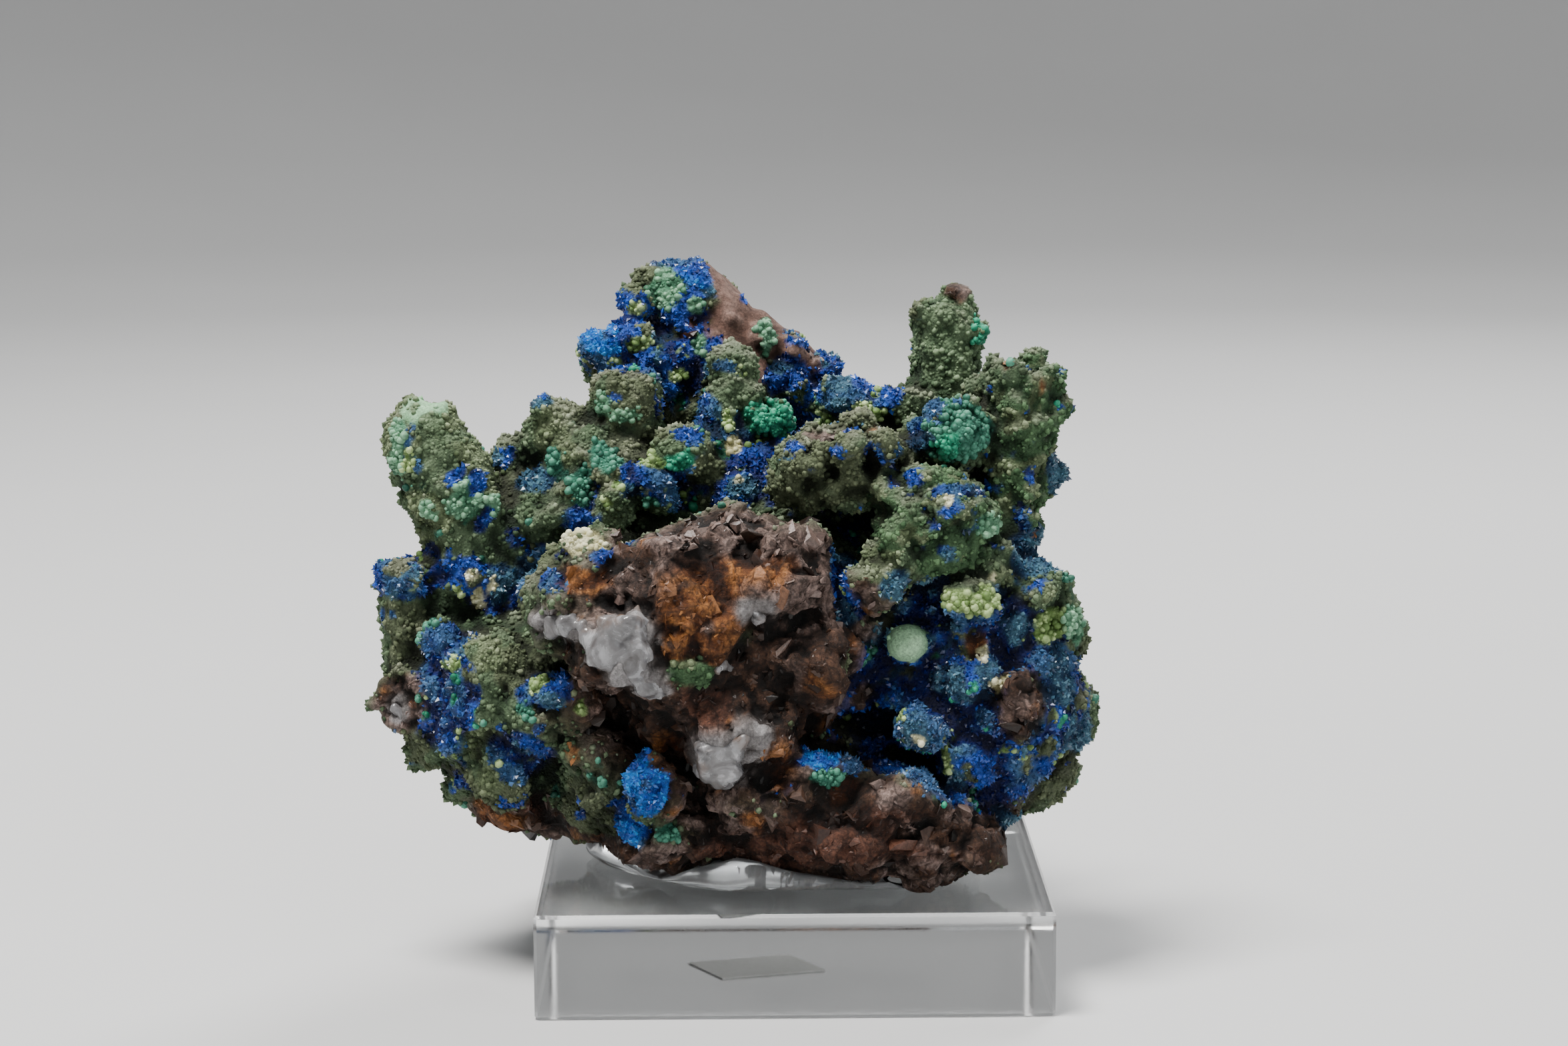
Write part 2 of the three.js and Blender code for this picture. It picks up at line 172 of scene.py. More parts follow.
# Meshes as arrays of points and triangles.
def arrays_of(mesh):
    points = np.empty(len(mesh.vertices) * 3, np.float32)
    mesh.vertices.foreach_get("co", points)
    mesh.calc_loop_triangles()
    faces = np.empty(len(mesh.loop_triangles) * 3, np.int32)
    mesh.loop_triangles.foreach_get("vertices", faces)
    return take(points.reshape(-1, 3)), faces.reshape(-1, 3)


def make(name, points, faces, smooth=True):
    mesh = bpy.data.meshes.new(name)
    mesh.vertices.add(len(points))
    mesh.vertices.foreach_set("co", put(points).astype(np.float32).ravel())
    mesh.loops.add(faces.size)
    mesh.loops.foreach_set("vertex_index", faces.astype(np.int32).ravel())
    mesh.polygons.add(len(faces))
    mesh.polygons.foreach_set("loop_start", np.arange(0, faces.size, 3, dtype=np.int32))
    mesh.update(calc_edges=True)
    mesh.polygons.foreach_set("use_smooth", np.full(len(faces), smooth))
    piece = bpy.data.objects.new(name, mesh)
    bpy.context.scene.collection.objects.link(piece)
    return piece


def with_values(piece, **values):
    """Gives each point of a piece named numbers, which its material reads."""
    for name, numbers in values.items():
        attribute = piece.data.attributes.new(name, "FLOAT", "POINT")
        attribute.data.foreach_set("value", np.asarray(numbers, np.float32))
    return piece


def joined(shapes):
    points, faces, start = [], [], 0
    for shape_points, shape_faces in shapes:
        points.append(shape_points)
        faces.append(shape_faces + start)
        start += len(shape_points)
    return np.concatenate(points), np.concatenate(faces)


def skin(shape, voxel):
    """One closed surface round everything that the shapes fill."""
    work = make("work", *shape)
    modifier = work.modifiers.new("skin", "REMESH")
    modifier.mode = "VOXEL"
    modifier.voxel_size = voxel * MM
    bpy.context.view_layer.update()
    evaluated = work.evaluated_get(bpy.context.evaluated_depsgraph_get())
    result = arrays_of(evaluated.to_mesh())
    evaluated.to_mesh_clear()
    bpy.data.objects.remove(work)
    return result


def edges_of(faces):
    edges = np.concatenate([faces[:, [0, 1]], faces[:, [1, 2]], faces[:, [2, 0]]])
    return np.concatenate([edges, edges[:, ::-1]])


def eased(shape, strength, times):
    """The shape with each point drawn towards its neighbours."""
    points, faces = shape
    edges = edges_of(faces)
    count = np.bincount(edges[:, 0], minlength=len(points))[:, None]
    for _ in range(times):
        total = np.stack(
            [np.bincount(edges[:, 0], points[edges[:, 1], i], len(points)) for i in range(3)], axis=1
        )
        points = points + strength * (total / count - points)
    return points, faces


def crosses(shape):
    """A vector square to each triangle, twice as long as the triangle's area."""
    corners = shape[0][shape[1]]
    return np.cross(corners[:, 1] - corners[:, 0], corners[:, 2] - corners[:, 0])


def normals_of(shape):
    points, faces = shape
    cross = crosses(shape)
    normals = np.zeros_like(points)
    for i in range(3):
        for axis in range(3):
            normals[:, axis] += np.bincount(faces[:, i], cross[:, axis], len(points))
    return normals / np.maximum(np.linalg.norm(normals, axis=1, keepdims=True), 1e-9)


def arrays_from(shape):
    """The points and triangles of a bmesh, which is freed."""
    shape.verts.index_update()
    points = np.array([v.co for v in shape.verts])
    faces = np.array([[v.index for v in f.verts] for f in shape.faces])
    shape.free()
    return points, faces


def ball(rounds):
    shape = bmesh.new()
    bmesh.ops.create_icosphere(shape, subdivisions=rounds, radius=1)
    return arrays_from(shape)


def globe(sides, rings):
    """A ball with few faces, for the many small grains: rings of points between two poles."""
    points, faces = [(0, 0, -1)], []
    for ring in range(rings):
        height = -math.cos(math.pi * (ring + 1) / (rings + 1))
        wide = math.sqrt(1 - height * height)
        for i in range(sides):
            turn = 2 * math.pi * (i + 0.5 * (ring % 2)) / sides
            points.append((wide * math.cos(turn), wide * math.sin(turn), height))
    points.append((0, 0, 1))
    top = len(points) - 1
    for i in range(sides):
        j = (i + 1) % sides
        faces += [(0, 1 + j, 1 + i), (top, top - sides + i, top - sides + j)]
        for ring in range(rings - 1):
            low, high = 1 + ring * sides, 1 + (ring + 1) * sides
            faces += [(low + i, low + j, high + i), (low + j, high + j, high + i)]
    return np.array(points, float), np.array(faces)


def chip(corners, seed):
    """A small broken chunk with flat faces."""
    random = np.random.default_rng(seed)
    shape = bmesh.new()
    for point in random.normal(size=(corners, 3)):
        shape.verts.new(point / np.linalg.norm(point) * random.uniform(0.8, 1.1))
    bmesh.ops.convex_hull(shape, input=shape.verts)
    bmesh.ops.delete(shape, geom=[v for v in shape.verts if not v.link_faces], context="VERTS")
    bmesh.ops.triangulate(shape, faces=shape.faces)
    bmesh.ops.recalc_face_normals(shape, faces=shape.faces)
    return arrays_from(shape)


def prism(foot, head, wide, narrow, turn):
    """A six-sided crystal from the middle of its foot to the middle of its head."""
    foot, head = np.array(foot, float), np.array(head, float)
    axis = (head - foot) / np.linalg.norm(head - foot)
    side = np.cross(axis, (0, 1, 0))
    side /= np.linalg.norm(side)
    other = np.cross(axis, side)
    angles = np.radians(turn + 60 * np.arange(6))[:, None]
    ring = side * np.cos(angles) + other * np.sin(angles)
    points = np.concatenate([foot + wide * ring, head + narrow * ring, [foot, head]])
    faces = []
    for i in range(6):
        j = (i + 1) % 6
        faces += [(i, j, 6 + j), (i, 6 + j, 6 + i), (12, j, i), (13, 6 + i, 6 + j)]
    return points, np.array(faces)


BLADE = (
    np.array([(0, 0, -1), (1, 0, 0.1), (0, 1, -0.1), (-1, 0, 0), (0, -1, 0.1), (0.2, 0, 1)], float),
    np.array([(0, 2, 1), (0, 3, 2), (0, 4, 3), (0, 1, 4), (5, 1, 2), (5, 2, 3), (5, 3, 4), (5, 4, 1)]),
)


def scatter(shape, thickness, random):
    """Random places on a shape: thickness is how many per square millimetre, at each point."""
    points, faces = shape
    cross = crosses(shape)
    area = np.linalg.norm(cross, axis=1) / 2
    counts = random.poisson(area * thickness[faces].mean(axis=1))
    which = np.repeat(np.arange(len(faces)), counts)
    u, v = random.random((2, len(which)))
    u, v = np.where(u + v > 1, 1 - u, u), np.where(u + v > 1, 1 - v, v)
    a, b, c = (points[faces[which, i]] for i in range(3))
    at = a + u[:, None] * (b - a) + v[:, None] * (c - a)
    owner = faces[which, np.argmax(thickness[faces[which]], axis=1)]
    return at, cross[which] / (2 * area[which, None] + 1e-12), owner


def turns(directions, random):
    """A turn for each direction: its Z lies along the direction, with a random roll about it."""
    z = unit(directions)
    x = unit(np.cross(np.where(np.abs(z[:, 2:]) < 0.9, [[0, 0, 1.0]], [[1.0, 0, 0]]), z))
    y = np.cross(z, x)
    roll = random.uniform(0, 2 * np.pi, len(z))[:, None]
    return np.stack([x * np.cos(roll) + y * np.sin(roll), y * np.cos(roll) - x * np.sin(roll), z], axis=2)


def stamped(template, at, turn, size):
    """Copies of a small shape, joined: one at each place, turned and sized its own way."""
    points, faces = template
    size = np.asarray(size, float)
    size = size[:, None, None] if size.ndim == 1 else size[:, None, :]
    placed = np.einsum("nij,npj->npi", turn, points[None] * size) + at[:, None]
    steps = np.arange(len(at))[:, None, None] * len(points)
    return placed.reshape(-1, 3), (faces[None] + steps).reshape(-1, 3)


def tilted(normals, reach, random):
    return normals + random.normal(size=normals.shape) * reach


def rows_of(table):
    """A mineral, a middle, a reach and perhaps a thickness from each line of a table."""
    rows = []
    for line in table.strip().splitlines():
        if not line.startswith("#"):
            name, *words = line.split()
            numbers = [float(word) for word in words]
            rows.append((name, numbers[:3], numbers[3:6], *numbers[6:]))
    return rows


MINERALS = (
    "malachite", "khaki", "sage", "olive", "green", "azurite", "dusty", "vivid", "teal", "jade",
    "emerald", "lime", "cream", "mint", "iron", "mauve", "rust", "red", "quartz", "pink", "dust",
)
COATS = ("malachite", "khaki", "sage", "olive", "green", "dust")
SOFT = COATS + ("azurite", "dusty", "vivid", "teal", "jade", "emerald", "lime", "cream")
LUMPY = ("azurite", "dusty", "olive", "green", "malachite")
HARD = ("iron", "mauve", "rust", "red", "quartz")

# What covers the rock where. Each line is a mineral, the middle of its patch, its reach, and how thick
# its knobs stand on the surface if it has any. Later lines go over earlier ones.
STROKES = rows_of("""
# the whole body
iron -8 -22 42  22 15 18
iron 8 -20 20  22 12 9
iron -6 -4 12  30 26 6
mauve -10 -20 55  14 8 6
mauve 2 -22 53  7 6 6
khaki -44 -1 62  9 10 13
malachite -39 -2 54  6 8 5
khaki -27 0 68  6 7 5
olive 8 -10 66  9 8 6  1.6
sage 21 4 77  6 7 9
sage 15 -2 71  4 5 3  0.9
green 31 -5 66  7 9 14  1.2
green 18 -16 59  9 8 7  1
# the back and the sides
iron 4 26 30  20 12 13
mauve -20 24 60  9 9 7
iron 22 24 50  9 9 8
azurite 8 30 46  11 10 7  0.9
azurite -22 26 38  10 10 8  0.9
azurite 34 6 44  7 9 8  0.8
azurite -46 8 42  7 8 7  0.8
khaki -6 28 62  12 10 7
teal -32 20 50  4 5 4  0.8
lime 2 30 56  3 4 2.4  0.7
emerald 18 27 38  3.4 5 4  0.8
rust 6 30 26  6 6 5
quartz -6 30 32  5 5 4
dusty 22 14 62  7 7 4  0.8
# the lower left
azurite -43 -11 37  5 7 9
olive -33 -13 40  5 6 4  0.9
khaki -38.5 -15 43  2.8 4 2.6
khaki -38 -14 29  3.4 5 5
azurite -30.5 -18 38  4 5 2
azurite -33.5 -14 30  4.5 6 4
iron -33 -8 20  8 7 3.6
iron -20 -18 17  10 10 4
olive -25 -16 23  4 5 4.5
mauve -49.7 -9 34.6  4 4.4 4
quartz -50.1 -8.4 33.6  1.5 3 1.6
rust -48 -9 34.4  0.6 2 0.7
teal -47 -9 35.4  0.8 2 0.8  0.5
azurite -50.4 -5.5 50.5  3.6 6 2.8  0.8
olive -49.6 -5 52  1.8 3 1.2  0.7
azurite -46.3 -4.5 51  2.2 4 2.6  0.7
azurite -41.8 -4.5 51  3.2 4 2.2  0.7
azurite -37 -5 48.8  5 5 2.8  0.7
dusty -31.5 -8 51  4 7 3  0.7
azurite -29 -21 52  2.2 3 1.4
azurite -31.4 -4 53.4  2 3 1.6  0.6
lime -42.4 -12.2 41  1 2 1.1  0.7
lime -31.8 -17 38.2  0.9 2 0.9  0.7
lime -33.2 -16 36.8  0.8 2 0.8  0.6
lime -29.6 -18 36.8  0.8 2 0.8  0.6
lime -25.5 -20 36  1.1 2 1  0.9
rust -27.3 -19 30.2  1.2 2 1  0.9
cream -40 -5.6 50  0.8 2 0.8  0.6
cream -37.8 -5.4 49.2  0.8 2 0.8  0.6
cream -39.4 -5.2 47.4  1.2 2 1  0.8
rust -37.3 -8.5 19.6  2 4 2.4
red -32.6 -9.5 22  2.6 3 1.2
# the leaning crystal on the left
mint -46.2 -2 71.2  3.2 4 2.2
sage -44.6 -4 70  1.7 3 1.1
sage -47.6 -4 72  1 3 0.8
azurite -47.6 -4.2 66.6  0.8 3 3  0.4
jade -49.3 -3.8 66.6  1.1 3 3.8  0.5
azurite -46.6 -4.6 64.6  1.2 2 1  0.4
jade -45.5 -5.2 59.2  1.2 2 1.8  0.7
jade -41.1 -4.8 59.8  2.2 3 2.4  0.8
jade -37.8 -4.4 58.8  1.2 2 1.6  0.7
azurite -40 -4.8 61.6  1.2 2 1.5  0.4
azurite -42.4 -5 63  1.1 2 1  0.4
azurite -38.4 -4.6 57.2  0.9 2 1.4  0.4
azurite -35.2 -3.6 54.7  1.4 2 1.4  0.5
# the short columns
dusty -32.6 -1 62  2.8 3 2  0.6
azurite -37.2 3.4 63.8  1.4 3 1.4  0.5
azurite -31.6 1.5 72  1.6 3 0.9  0.5
teal -30 -2.4 64.4  1.2 2 2  0.6
teal -27 -6 61.4  1.5 3 2  0.6
teal -23.9 -5.4 65  2.3 3 2.6  0.6
teal -21.5 -5.2 63.8  1.5 2 1.4  0.6
jade -23.7 0.4 71.4  0.9 2 1.5  0.5
jade -20.8 -0.6 70.2  2.4 2 0.9  0.6
# the valley across the middle
azurite -10 -4 62  9 6 3.4
azurite -4 2 67  8 7 3.4
olive -11.5 -3 63.8  2.8 3 2  0.7
azurite -26.6 -6.4 58  2.4 4 1.6  0.6
azurite -18.7 -6.2 62.2  3.2 4 1.9  0.6
azurite -23.6 -20 55.9  1.6 3 1
lime -22.3 -7.4 60.6  1.4 2 1.9  1
cream -25 -15 56.2  3.4 5 2  0.9
lime -17.7 -4.8 64.8  1.8 2 0.8  0.5
emerald -14.5 -5 65.2  1.7 2 1.1  0.6
emerald -9 0 65.6  1.6 2 1.4  0.6
cream -7.6 0.6 66.5  1.3 2 1.2  0.7
azurite -11.2 3.6 70.1  3.2 4 2.9  0.7
lime -8 0.9 69.6  1.3 2 1.4  0.6
azurite -14.6 8 71  1.6 6 2.6  0.6
dusty -6.4 -4.4 61.4  2.8 3 1.6  0.7
cream -7 -5 62.4  1.2 2 0.8  0.5
lime -3.8 4.8 68.2  1.4 2 1.1  0.6
emerald -2.6 3 69.5  3.2 4 2  0.9
azurite 7.6 2 72.6  3.8 5 2.8  0.7
dusty 6 1 73.4  1.8 3 1.6  0.5
lime 4.4 4 69.4  1.6 3 1  0.5
lime 10 0.6 70.9  2.6 4 1.6  0.6
azurite 12.6 1.6 71.8  2.4 4 1.5  0.6
azurite 10.8 -0.6 68.2  2.2 2 0.9
rust 10.2 -11.6 68.2  0.9 2 1
mauve 3.4 -12.6 69.4  2.2 3 0.9
azurite 1.2 -11 66.4  1.6 3 1.6  0.5
dusty 7.8 -14 70  1.4 3 0.8  0.5
# the peak
azurite -18 13 79  8 11 7  0.7
azurite -25 11.4 78  4.4 6 4  0.7
vivid -24.6 10.6 79  3.2 5 1.8  0.5
azurite -14.6 17 86  4.2 8 4  0.7
olive -18.6 17 86.3  2.6 5 1.8  0.9
jade -16.4 15.5 84.6  2.2 4 2.3  0.9
jade -15.6 16 86.8  1.4 3 1.2  0.6
vivid -12.6 16.6 87  2.4 4 1.5  0.5
lime -20 15 82.8  1.3 3 1.1  0.5
jade -12.2 14 82.8  1.1 2 1.1  0.9
rust -13 15 80.6  0.9 2 0.7  0.5
lime -20 12 79  2.2 4 1.2  0.5
lime -23 10.5 76.6  1.5 3 0.9  0.5
lime -16.6 11.6 77.1  1.4 2 1.3  0.6
jade -15.8 11.2 76.2  1.1 2 1  0.6
khaki -15 13.4 77.6  1.3 2 1.3  0.8
lime -13.9 11 74.8  1.2 2 1  0.5
lime -9.9 14 80.4  0.8 2 0.9  0.4
jade -11.6 12 78  0.9 2 1.4  0.4
pink -8.2 17 86.4  2.6 9 3
pink -2.6 16.5 79.6  8.4 12 7.6
azurite -6 15.4 84  0.8 3 0.7  0.4
azurite -9.4 14 76  3 4 2.4  0.5
jade -2.8 15 78.4  0.9 4 2.8  0.5
azurite 0.8 17 77.4  1.7 3 1.5  0.6
azurite 5.2 17.6 75.4  2 5 2.4  0.7
mauve 2.8 17 75.2  1.1 2 1.5
azurite -0.3 14 73  2.8 5 2.4  0.7
# the two upright crystals on the right
iron 21.8 3.6 84.8  2.4 3 1.3
emerald 24.6 4 79.8  1.3 3 2  0.6
mauve 14.2 -4 71.6  0.9 2 0.8
teal 20.3 -11.6 69.7  4.6 5 4.2  1
emerald 19 -13 68  1.8 3 2  0.7
azurite 16.8 -7.8 69.2  1.5 3 2  0.6
azurite 20.6 -10 73.2  0.9 2 0.8  0.4
azurite 17.6 -12 72  1.7 4 1.5  0.5
dusty 16.4 -12 68.2  1.3 4 1.6  0.5
rust 31 -9 74.6  0.6 2 0.9
rust 27.2 -8 77  0.5 2 0.6
azurite 29.5 -9.6 63.2  0.7 2 1  0.4
azurite 28.7 -10 57  1 2 2.2  0.4
dusty 33 -2 62.4  2 5 3.2  0.7
# the body on the right
azurite 22 -14 36  15 16 14
azurite 6 -14 50  3 6 5
azurite 16.4 -15.6 64.3  2.2 3 0.9  0.5
azurite 20 -18.8 62.8  3.2 3 1  0.5
azurite 19.6 -20.6 61  2 2 1  0.5
cream 19 -20.6 61.6  0.8 2 0.6
azurite 12.6 -15.2 62.5  0.9 2 1.1  0.4
azurite 24.8 -9 61.6  1.4 3 1  0.5
azurite 17 -20 59  0.9 2 0.8  0.4
azurite 19.2 -19.6 56  1.5 2 1  0.5
azurite 14.6 -17.4 60.4  1.3 2 1.1  0.4
dusty 21.6 -18 58.6  1.2 2 1.2  0.5
khaki 17.6 -19 61.4  1.8 3 1.2  0.8
azurite 22.6 -16 62.4  1.2 2 1  0.4
khaki 13 -18 57.6  1.6 3 1.3  0.8
jade 23.6 -16.6 58  1.8 3 1.6  0.7
khaki 11.3 -19.5 54.2  4.2 4 2.4
azurite 6.5 -13 53.7  1.5 4 1.3  0.5
dusty 12.2 -20.4 51.8  2.2 4 2.1  0.8
dusty 17.4 -13 51  3.2 5 2.8  0.8
dusty 30 -9 53.5  4 7 3.4  0.7
rust 29.7 -9 55.6  0.9 2 0.5
khaki 25.8 -15.6 51.2  2 3 1.6  0.9
khaki 31.9 -16 49.7  1.3 3 1.2  0.7
lime 20.5 -19.5 49.5  1.7 3 1.7  0.8
lime 23.5 -20 48.6  2.2 3 1.9  0.8
cream 24.4 -18.8 51.4  0.6 2 0.7  0.6
lime 32.2 -14.2 44.8  2.8 4 2.4  0.8
jade 35.3 -11.2 44.6  1.9 4 2.8  0.6
rust 22.6 -18.2 43  1.5 2 1.3
cream 23.6 -18.4 42  0.8 2 0.8  0.6
mint 14.2 -18.2 43.6  3 3 2.4
teal 8.8 -15.2 41.6  1.6 3 1.3  0.6
iron 8.9 -14.4 36.2  1.7 3 1.8
iron 28 -20.4 36.2  3 5 4.2
cream 26.2 -18.6 39.2  1.6 2 0.9  0.6
dusty 15 -22.2 33.8  2.2 4 2.5  0.6
cream 15 -23.6 33  0.9 2 0.9
lime 19.7 -19.4 30.4  0.8 2 2  0.5
dusty 35.4 -12.5 31  2 6 5  0.6
dusty 32.6 -12 38.6  3 6 4  0.9
khaki 34.4 -12 41  1.6 3 1.6  0.7
olive 35.4 -11 34.6  1.6 4 2.4  0.7
dusty 19.6 -19 38.6  2.4 4 1.8  0.8
khaki 16.2 -18.4 47.6  1.5 3 1.2  0.7
dusty 27.6 -17 45  2 3 1.8  0.8
olive 34 -10 25  3 8 4
dusty 25.6 -14.6 21  3.2 3 1.6  0.5
# the lip under it
red 9 -26 20.6  15 9 3.2
iron 19 -23 21  6 7 2.6
mauve 20.6 -22.4 23  2.4 3 1
mauve 12 -25.5 26.8  2.6 4 1.2
rust 6.4 -25 27  1.8 3 1.4
teal 16 -24 29.6  2 3 1  0.5
azurite 5.9 -23 30.2  5 3 1.2  0.5
vivid 3.4 -24.4 31  1.4 3 1.5  0.5
teal 3.8 -25 28.9  2.2 3 1  0.5
mauve -10.9 -20 23.8  5 6 2.4
red -4 -25 18.4  9 7 2.6
rust -5.7 -26.3 23.9  1.6 3 1
# the bare rock in front
rust -25.7 -21.5 53  3.6 4 1.2
rust -3 -22.6 53.6  2.6 4 2
mauve -13.8 -26 54  3 4 2.4
rust -10.6 -27 49.6  5 5 6.2
rust -7.4 -24.4 54  2.6 4 2
rust -13.8 -27.5 44.4  1.8 3 1.8
mauve 3 -23.4 53.2  3.4 4 2.6
quartz -4.4 -25.4 49  2.7 3 1.8
green -12.8 -27 41.8  2.9 3 1.8  0.5
mauve -22 -24 38.8  4.4 4 1.8
quartz -28.4 -21.6 47  4.4 5 1.6
quartz -20.1 -27.4 46.4  4 5 3.6
quartz -19 -27.6 41.6  3.4 5 2.6
red -10.8 -25.4 37.7  3 3 2
rust 3.5 -24 40.6  1.8 3 1.8
rust -15 -21.5 32  2.2 4 2
quartz -8.8 -25.8 31.6  4.2 5 3.4
quartz -5.4 -26.4 33.6  2.8 4 3.4
rust -1.6 -26 30.6  2.6 4 2.8
quartz -16.5 -25.5 39.2  1.6 2 0.9
vivid -18.6 -24 30.6  1.8 3 2.2  0.6
vivid -17.9 -25.8 27.2  3.3 4 2.8  0.7
vivid -20.3 -21.5 21.8  2.6 5 3  0.6
teal -15.6 -24 20.8  1.5 3 1.2  0.5
""")

# Small patches of another mineral inside each one: the two minerals, the patches' size and seed, and
# how high the noise has to be there.
INSIDE = [
    ("malachite", "azurite", 4, 31, 0.36), ("malachite", "olive", 7, 33, 0.16),
    ("khaki", "malachite", 5, 35, 0.1), ("green", "khaki", 2.6, 36, 0.2),
    ("malachite", "teal", 3, 37, 0.42), ("green", "azurite", 2, 38, 0.4),
    ("azurite", "dusty", 3.4, 39, 0.2), ("azurite", "lime", 2.2, 40, 0.44),
    ("azurite", "olive", 3.6, 41, 0.34), ("azurite", "emerald", 2.8, 42, 0.46),
    ("iron", "mauve", 6, 43, 0.02), ("iron", "rust", 4, 44, 0.3),
    ("mauve", "rust", 3, 45, 0.36), ("mauve", "iron", 4, 46, 0.16),
    ("rust", "iron", 2.4, 47, 0.34), ("rust", "mauve", 3.4, 51, 0.36),
    ("vivid", "azurite", 2, 48, 0.12), ("olive", "azurite", 2.4, 49, 0.4),
    ("iron", "olive", 6, 50, 0.38), ("sage", "malachite", 3, 52, 0.2),
]

# Wide patches over the back: the mineral, the size, the seed, and how high the noise has to be there.
BACK_PATCHES = [("azurite", 11, 91, 0.1), ("iron", 13, 93, 0.16), ("sage", 9, 95, 0.14)]

# Forms that the solid leaves to the surface: the middle and the reach of each, built of many lumps.
BULGES = [
    ((-24.4, 11.4, 78.2), (3.0, 3, 1.9)),
    ((-20.2, 12.4, 79.4), (2.6, 3, 1.6)),
    ((-19.8, 15.6, 83), (1.8, 2.4, 1.8)),
    ((5.6, 17.4, 73.8), (1.6, 2.6, 2.2)),
    ((24.2, 4, 79.8), (1.3, 1.8, 2)),
    ((16.6, 2.6, 83), (1.5, 1.5, 1)),
    ((32.4, -1.5, 62.4), (2.2, 4, 3)),
    ((34, -9.6, 26), (2.4, 5, 3)),
    ((25.4, -13.4, 21.4), (3, 3, 1.8)),
    ((-2.6, 3, 69.2), (3, 3, 1.9)),
    ((28, -18.4, 36.2), (2.7, 4.6, 3.7)),
    ((15, -20.6, 33.8), (2, 2.6, 2.4)),
    ((20.3, -10.6, 69.6), (4.2, 3.6, 3.8)),
    ((-31.4, 1, 71.2), (1.6, 2, 1)),
    ((7.6, 2, 72.2), (3.4, 3.4, 2.4)),
    ((10, 0.6, 70.6), (2.2, 2.2, 1.6)),
    ((12.6, 1.6, 71.6), (2.2, 2.2, 1.4)),
    ((24.4, -3.6, 73.6), (2.2, 3, 2.2)),
    ((-25, -15.6, 56), (3, 3.6, 1.8)),
    ((-22.3, -6.6, 60.4), (1.4, 1.6, 1.8)),
    ((3.2, -13.2, 67.6), (1.9, 2, 1.9)),
    ((7.6, -15.2, 68.2), (2, 2, 1.7)),
    ((12, -13.6, 67.4), (1.8, 2, 1.9)),
    ((4, -14.6, 62.8), (1.6, 1.8, 1.4)),
    ((11.4, -15.8, 62.8), (1.6, 1.8, 1.4)),
]

# One pale ball under the brow: its middle and its reach.
SMOOTH_BALL = ((14.2, -16.8, 43.6), (2.5, 2.5, 2.25))

# Crystals under their crust: the middles of the two ends, the radius at each end, and the turn.
PRISMS = [
    ((-39.6, 0, 49.5), (-43.9, 0, 63.0), 6.2, 6.0, 20),
    ((-43.6, 0, 62.0), (-46.5, 0, 71.3), 6.0, 3.4, 20),
    ((-21.2, 3.5, 68.6), (-21.0, 3.5, 74.8), 4.9, 4.2, 10),
]

# Smooth bare rock on the peak: the middle and the reach of each lump.
SHOULDERS = [
    ((-2.6, 17, 79.2), (3.4, 4.5, 3.2)),
    ((1.8, 17.5, 77.0), (3.0, 4.5, 3.0)),
    ((-6.2, 17, 81.6), (3.2, 4.5, 3.2)),
]

# Where the surface sinks in: the middle, the reach and the push.
HOLLOWS = [
    ((10.6, -13.5, 32.7), (5.6, 7, 2.8), (0, 5, 0)),
    ((1.7, -25.9, 46.2), (3.6, 6, 2.6), (0, 3.4, 0)),
    ((-26.2, -12.8, 32.2), (2.4, 6, 2.4), (0, 3, 0)),
    ((-26.5, -20, 27), (3, 6, 2.8), (0, 3, 0)),
    ((3.2, -13.7, 63), (2.4, 5, 1.4), (0, 3, 0)),
    ((28, -23, 35.6), (1.2, 3, 1.2), (0, 2, 0)),
    ((18.3, -14.4, 67.4), (1.5, 5, 1.3), (0, 2.4, 0)),
    ((22.8, -14, 71.4), (1.6, 5, 1.3), (0, 2.2, 0)),
    ((19.6, -14.6, 71.6), (0.8, 4, 1.2), (0, 1.6, 0)),
    ((5.2, -17, 65.2), (1.3, 6, 3.6), (0, 5, 0)),
    ((9.8, -17, 66.4), (1.3, 6, 3.4), (0, 5, 0)),
    ((13.6, -16, 65), (1.2, 6, 2.6), (0, 4.4, 0)),
    ((7.6, -18, 60.8), (5, 6, 1.3), (0, 4.4, 0)),
    ((2.6, -14, 67.6), (1.6, 5, 1), (0, 3, 0)),
    ((8, -17, 62.4), (2.4, 5, 0.9), (0, 2.6, 0)),
    ((-20, -25, 50), (3, 5, 0.9), (0, 2, 0)),
    ((-51.4, -2, 58.2), (3.3, 10, 6.4), (2.1, 0, 0.2)),
]


def minerals(points):
    """How much of each mineral covers each point, from 0 to 1."""
    cover = {name: np.zeros(len(points), np.float32) for name in MINERALS}
    cover["malachite"][:] = 1
    warped = pushed(pushed(pushed(points, 5, 1.1, 11), 1.9, 0.5, 21), 0.7, 0.22, 25)
    behind = smoothstep(points[:, 1], 5, 12) * (points[:, 2] < 76)
    for name, size, seed, low in BACK_PATCHES:
        here = behind * smoothstep(rough(warped, size, seed), low, low + 0.05)
        for other in cover:
            cover[other] *= 1 - here
        cover[name] += here
    for name, middle, reach, *knobs in STROKES:
        near = np.flatnonzero(np.all(np.abs(warped - middle) < np.array(reach) * 1.2, axis=1))
        distance = np.linalg.norm((warped[near] - middle) / reach, axis=1)
        soft = 3.5 if name in HARD else 1
        here = smoothstep(-distance, -1 - 0.1 * soft, -1 + 0.06 * soft)
        for other in cover:
            cover[other][near] *= 1 - here
        cover[name][near] += here
    for old, new, size, seed, low in INSIDE:
        there = np.flatnonzero(cover[old] > 0.02)
        width = 0.3 if old in HARD else 0.08
        moved = cover[old][there] * smoothstep(rough(points[there], size, seed), low, low + width)
        cover[old][there] -= moved
        cover[new][there] += moved
    return cover


def amount(cover, names):
    return np.sum([cover[name] for name in names], axis=0)


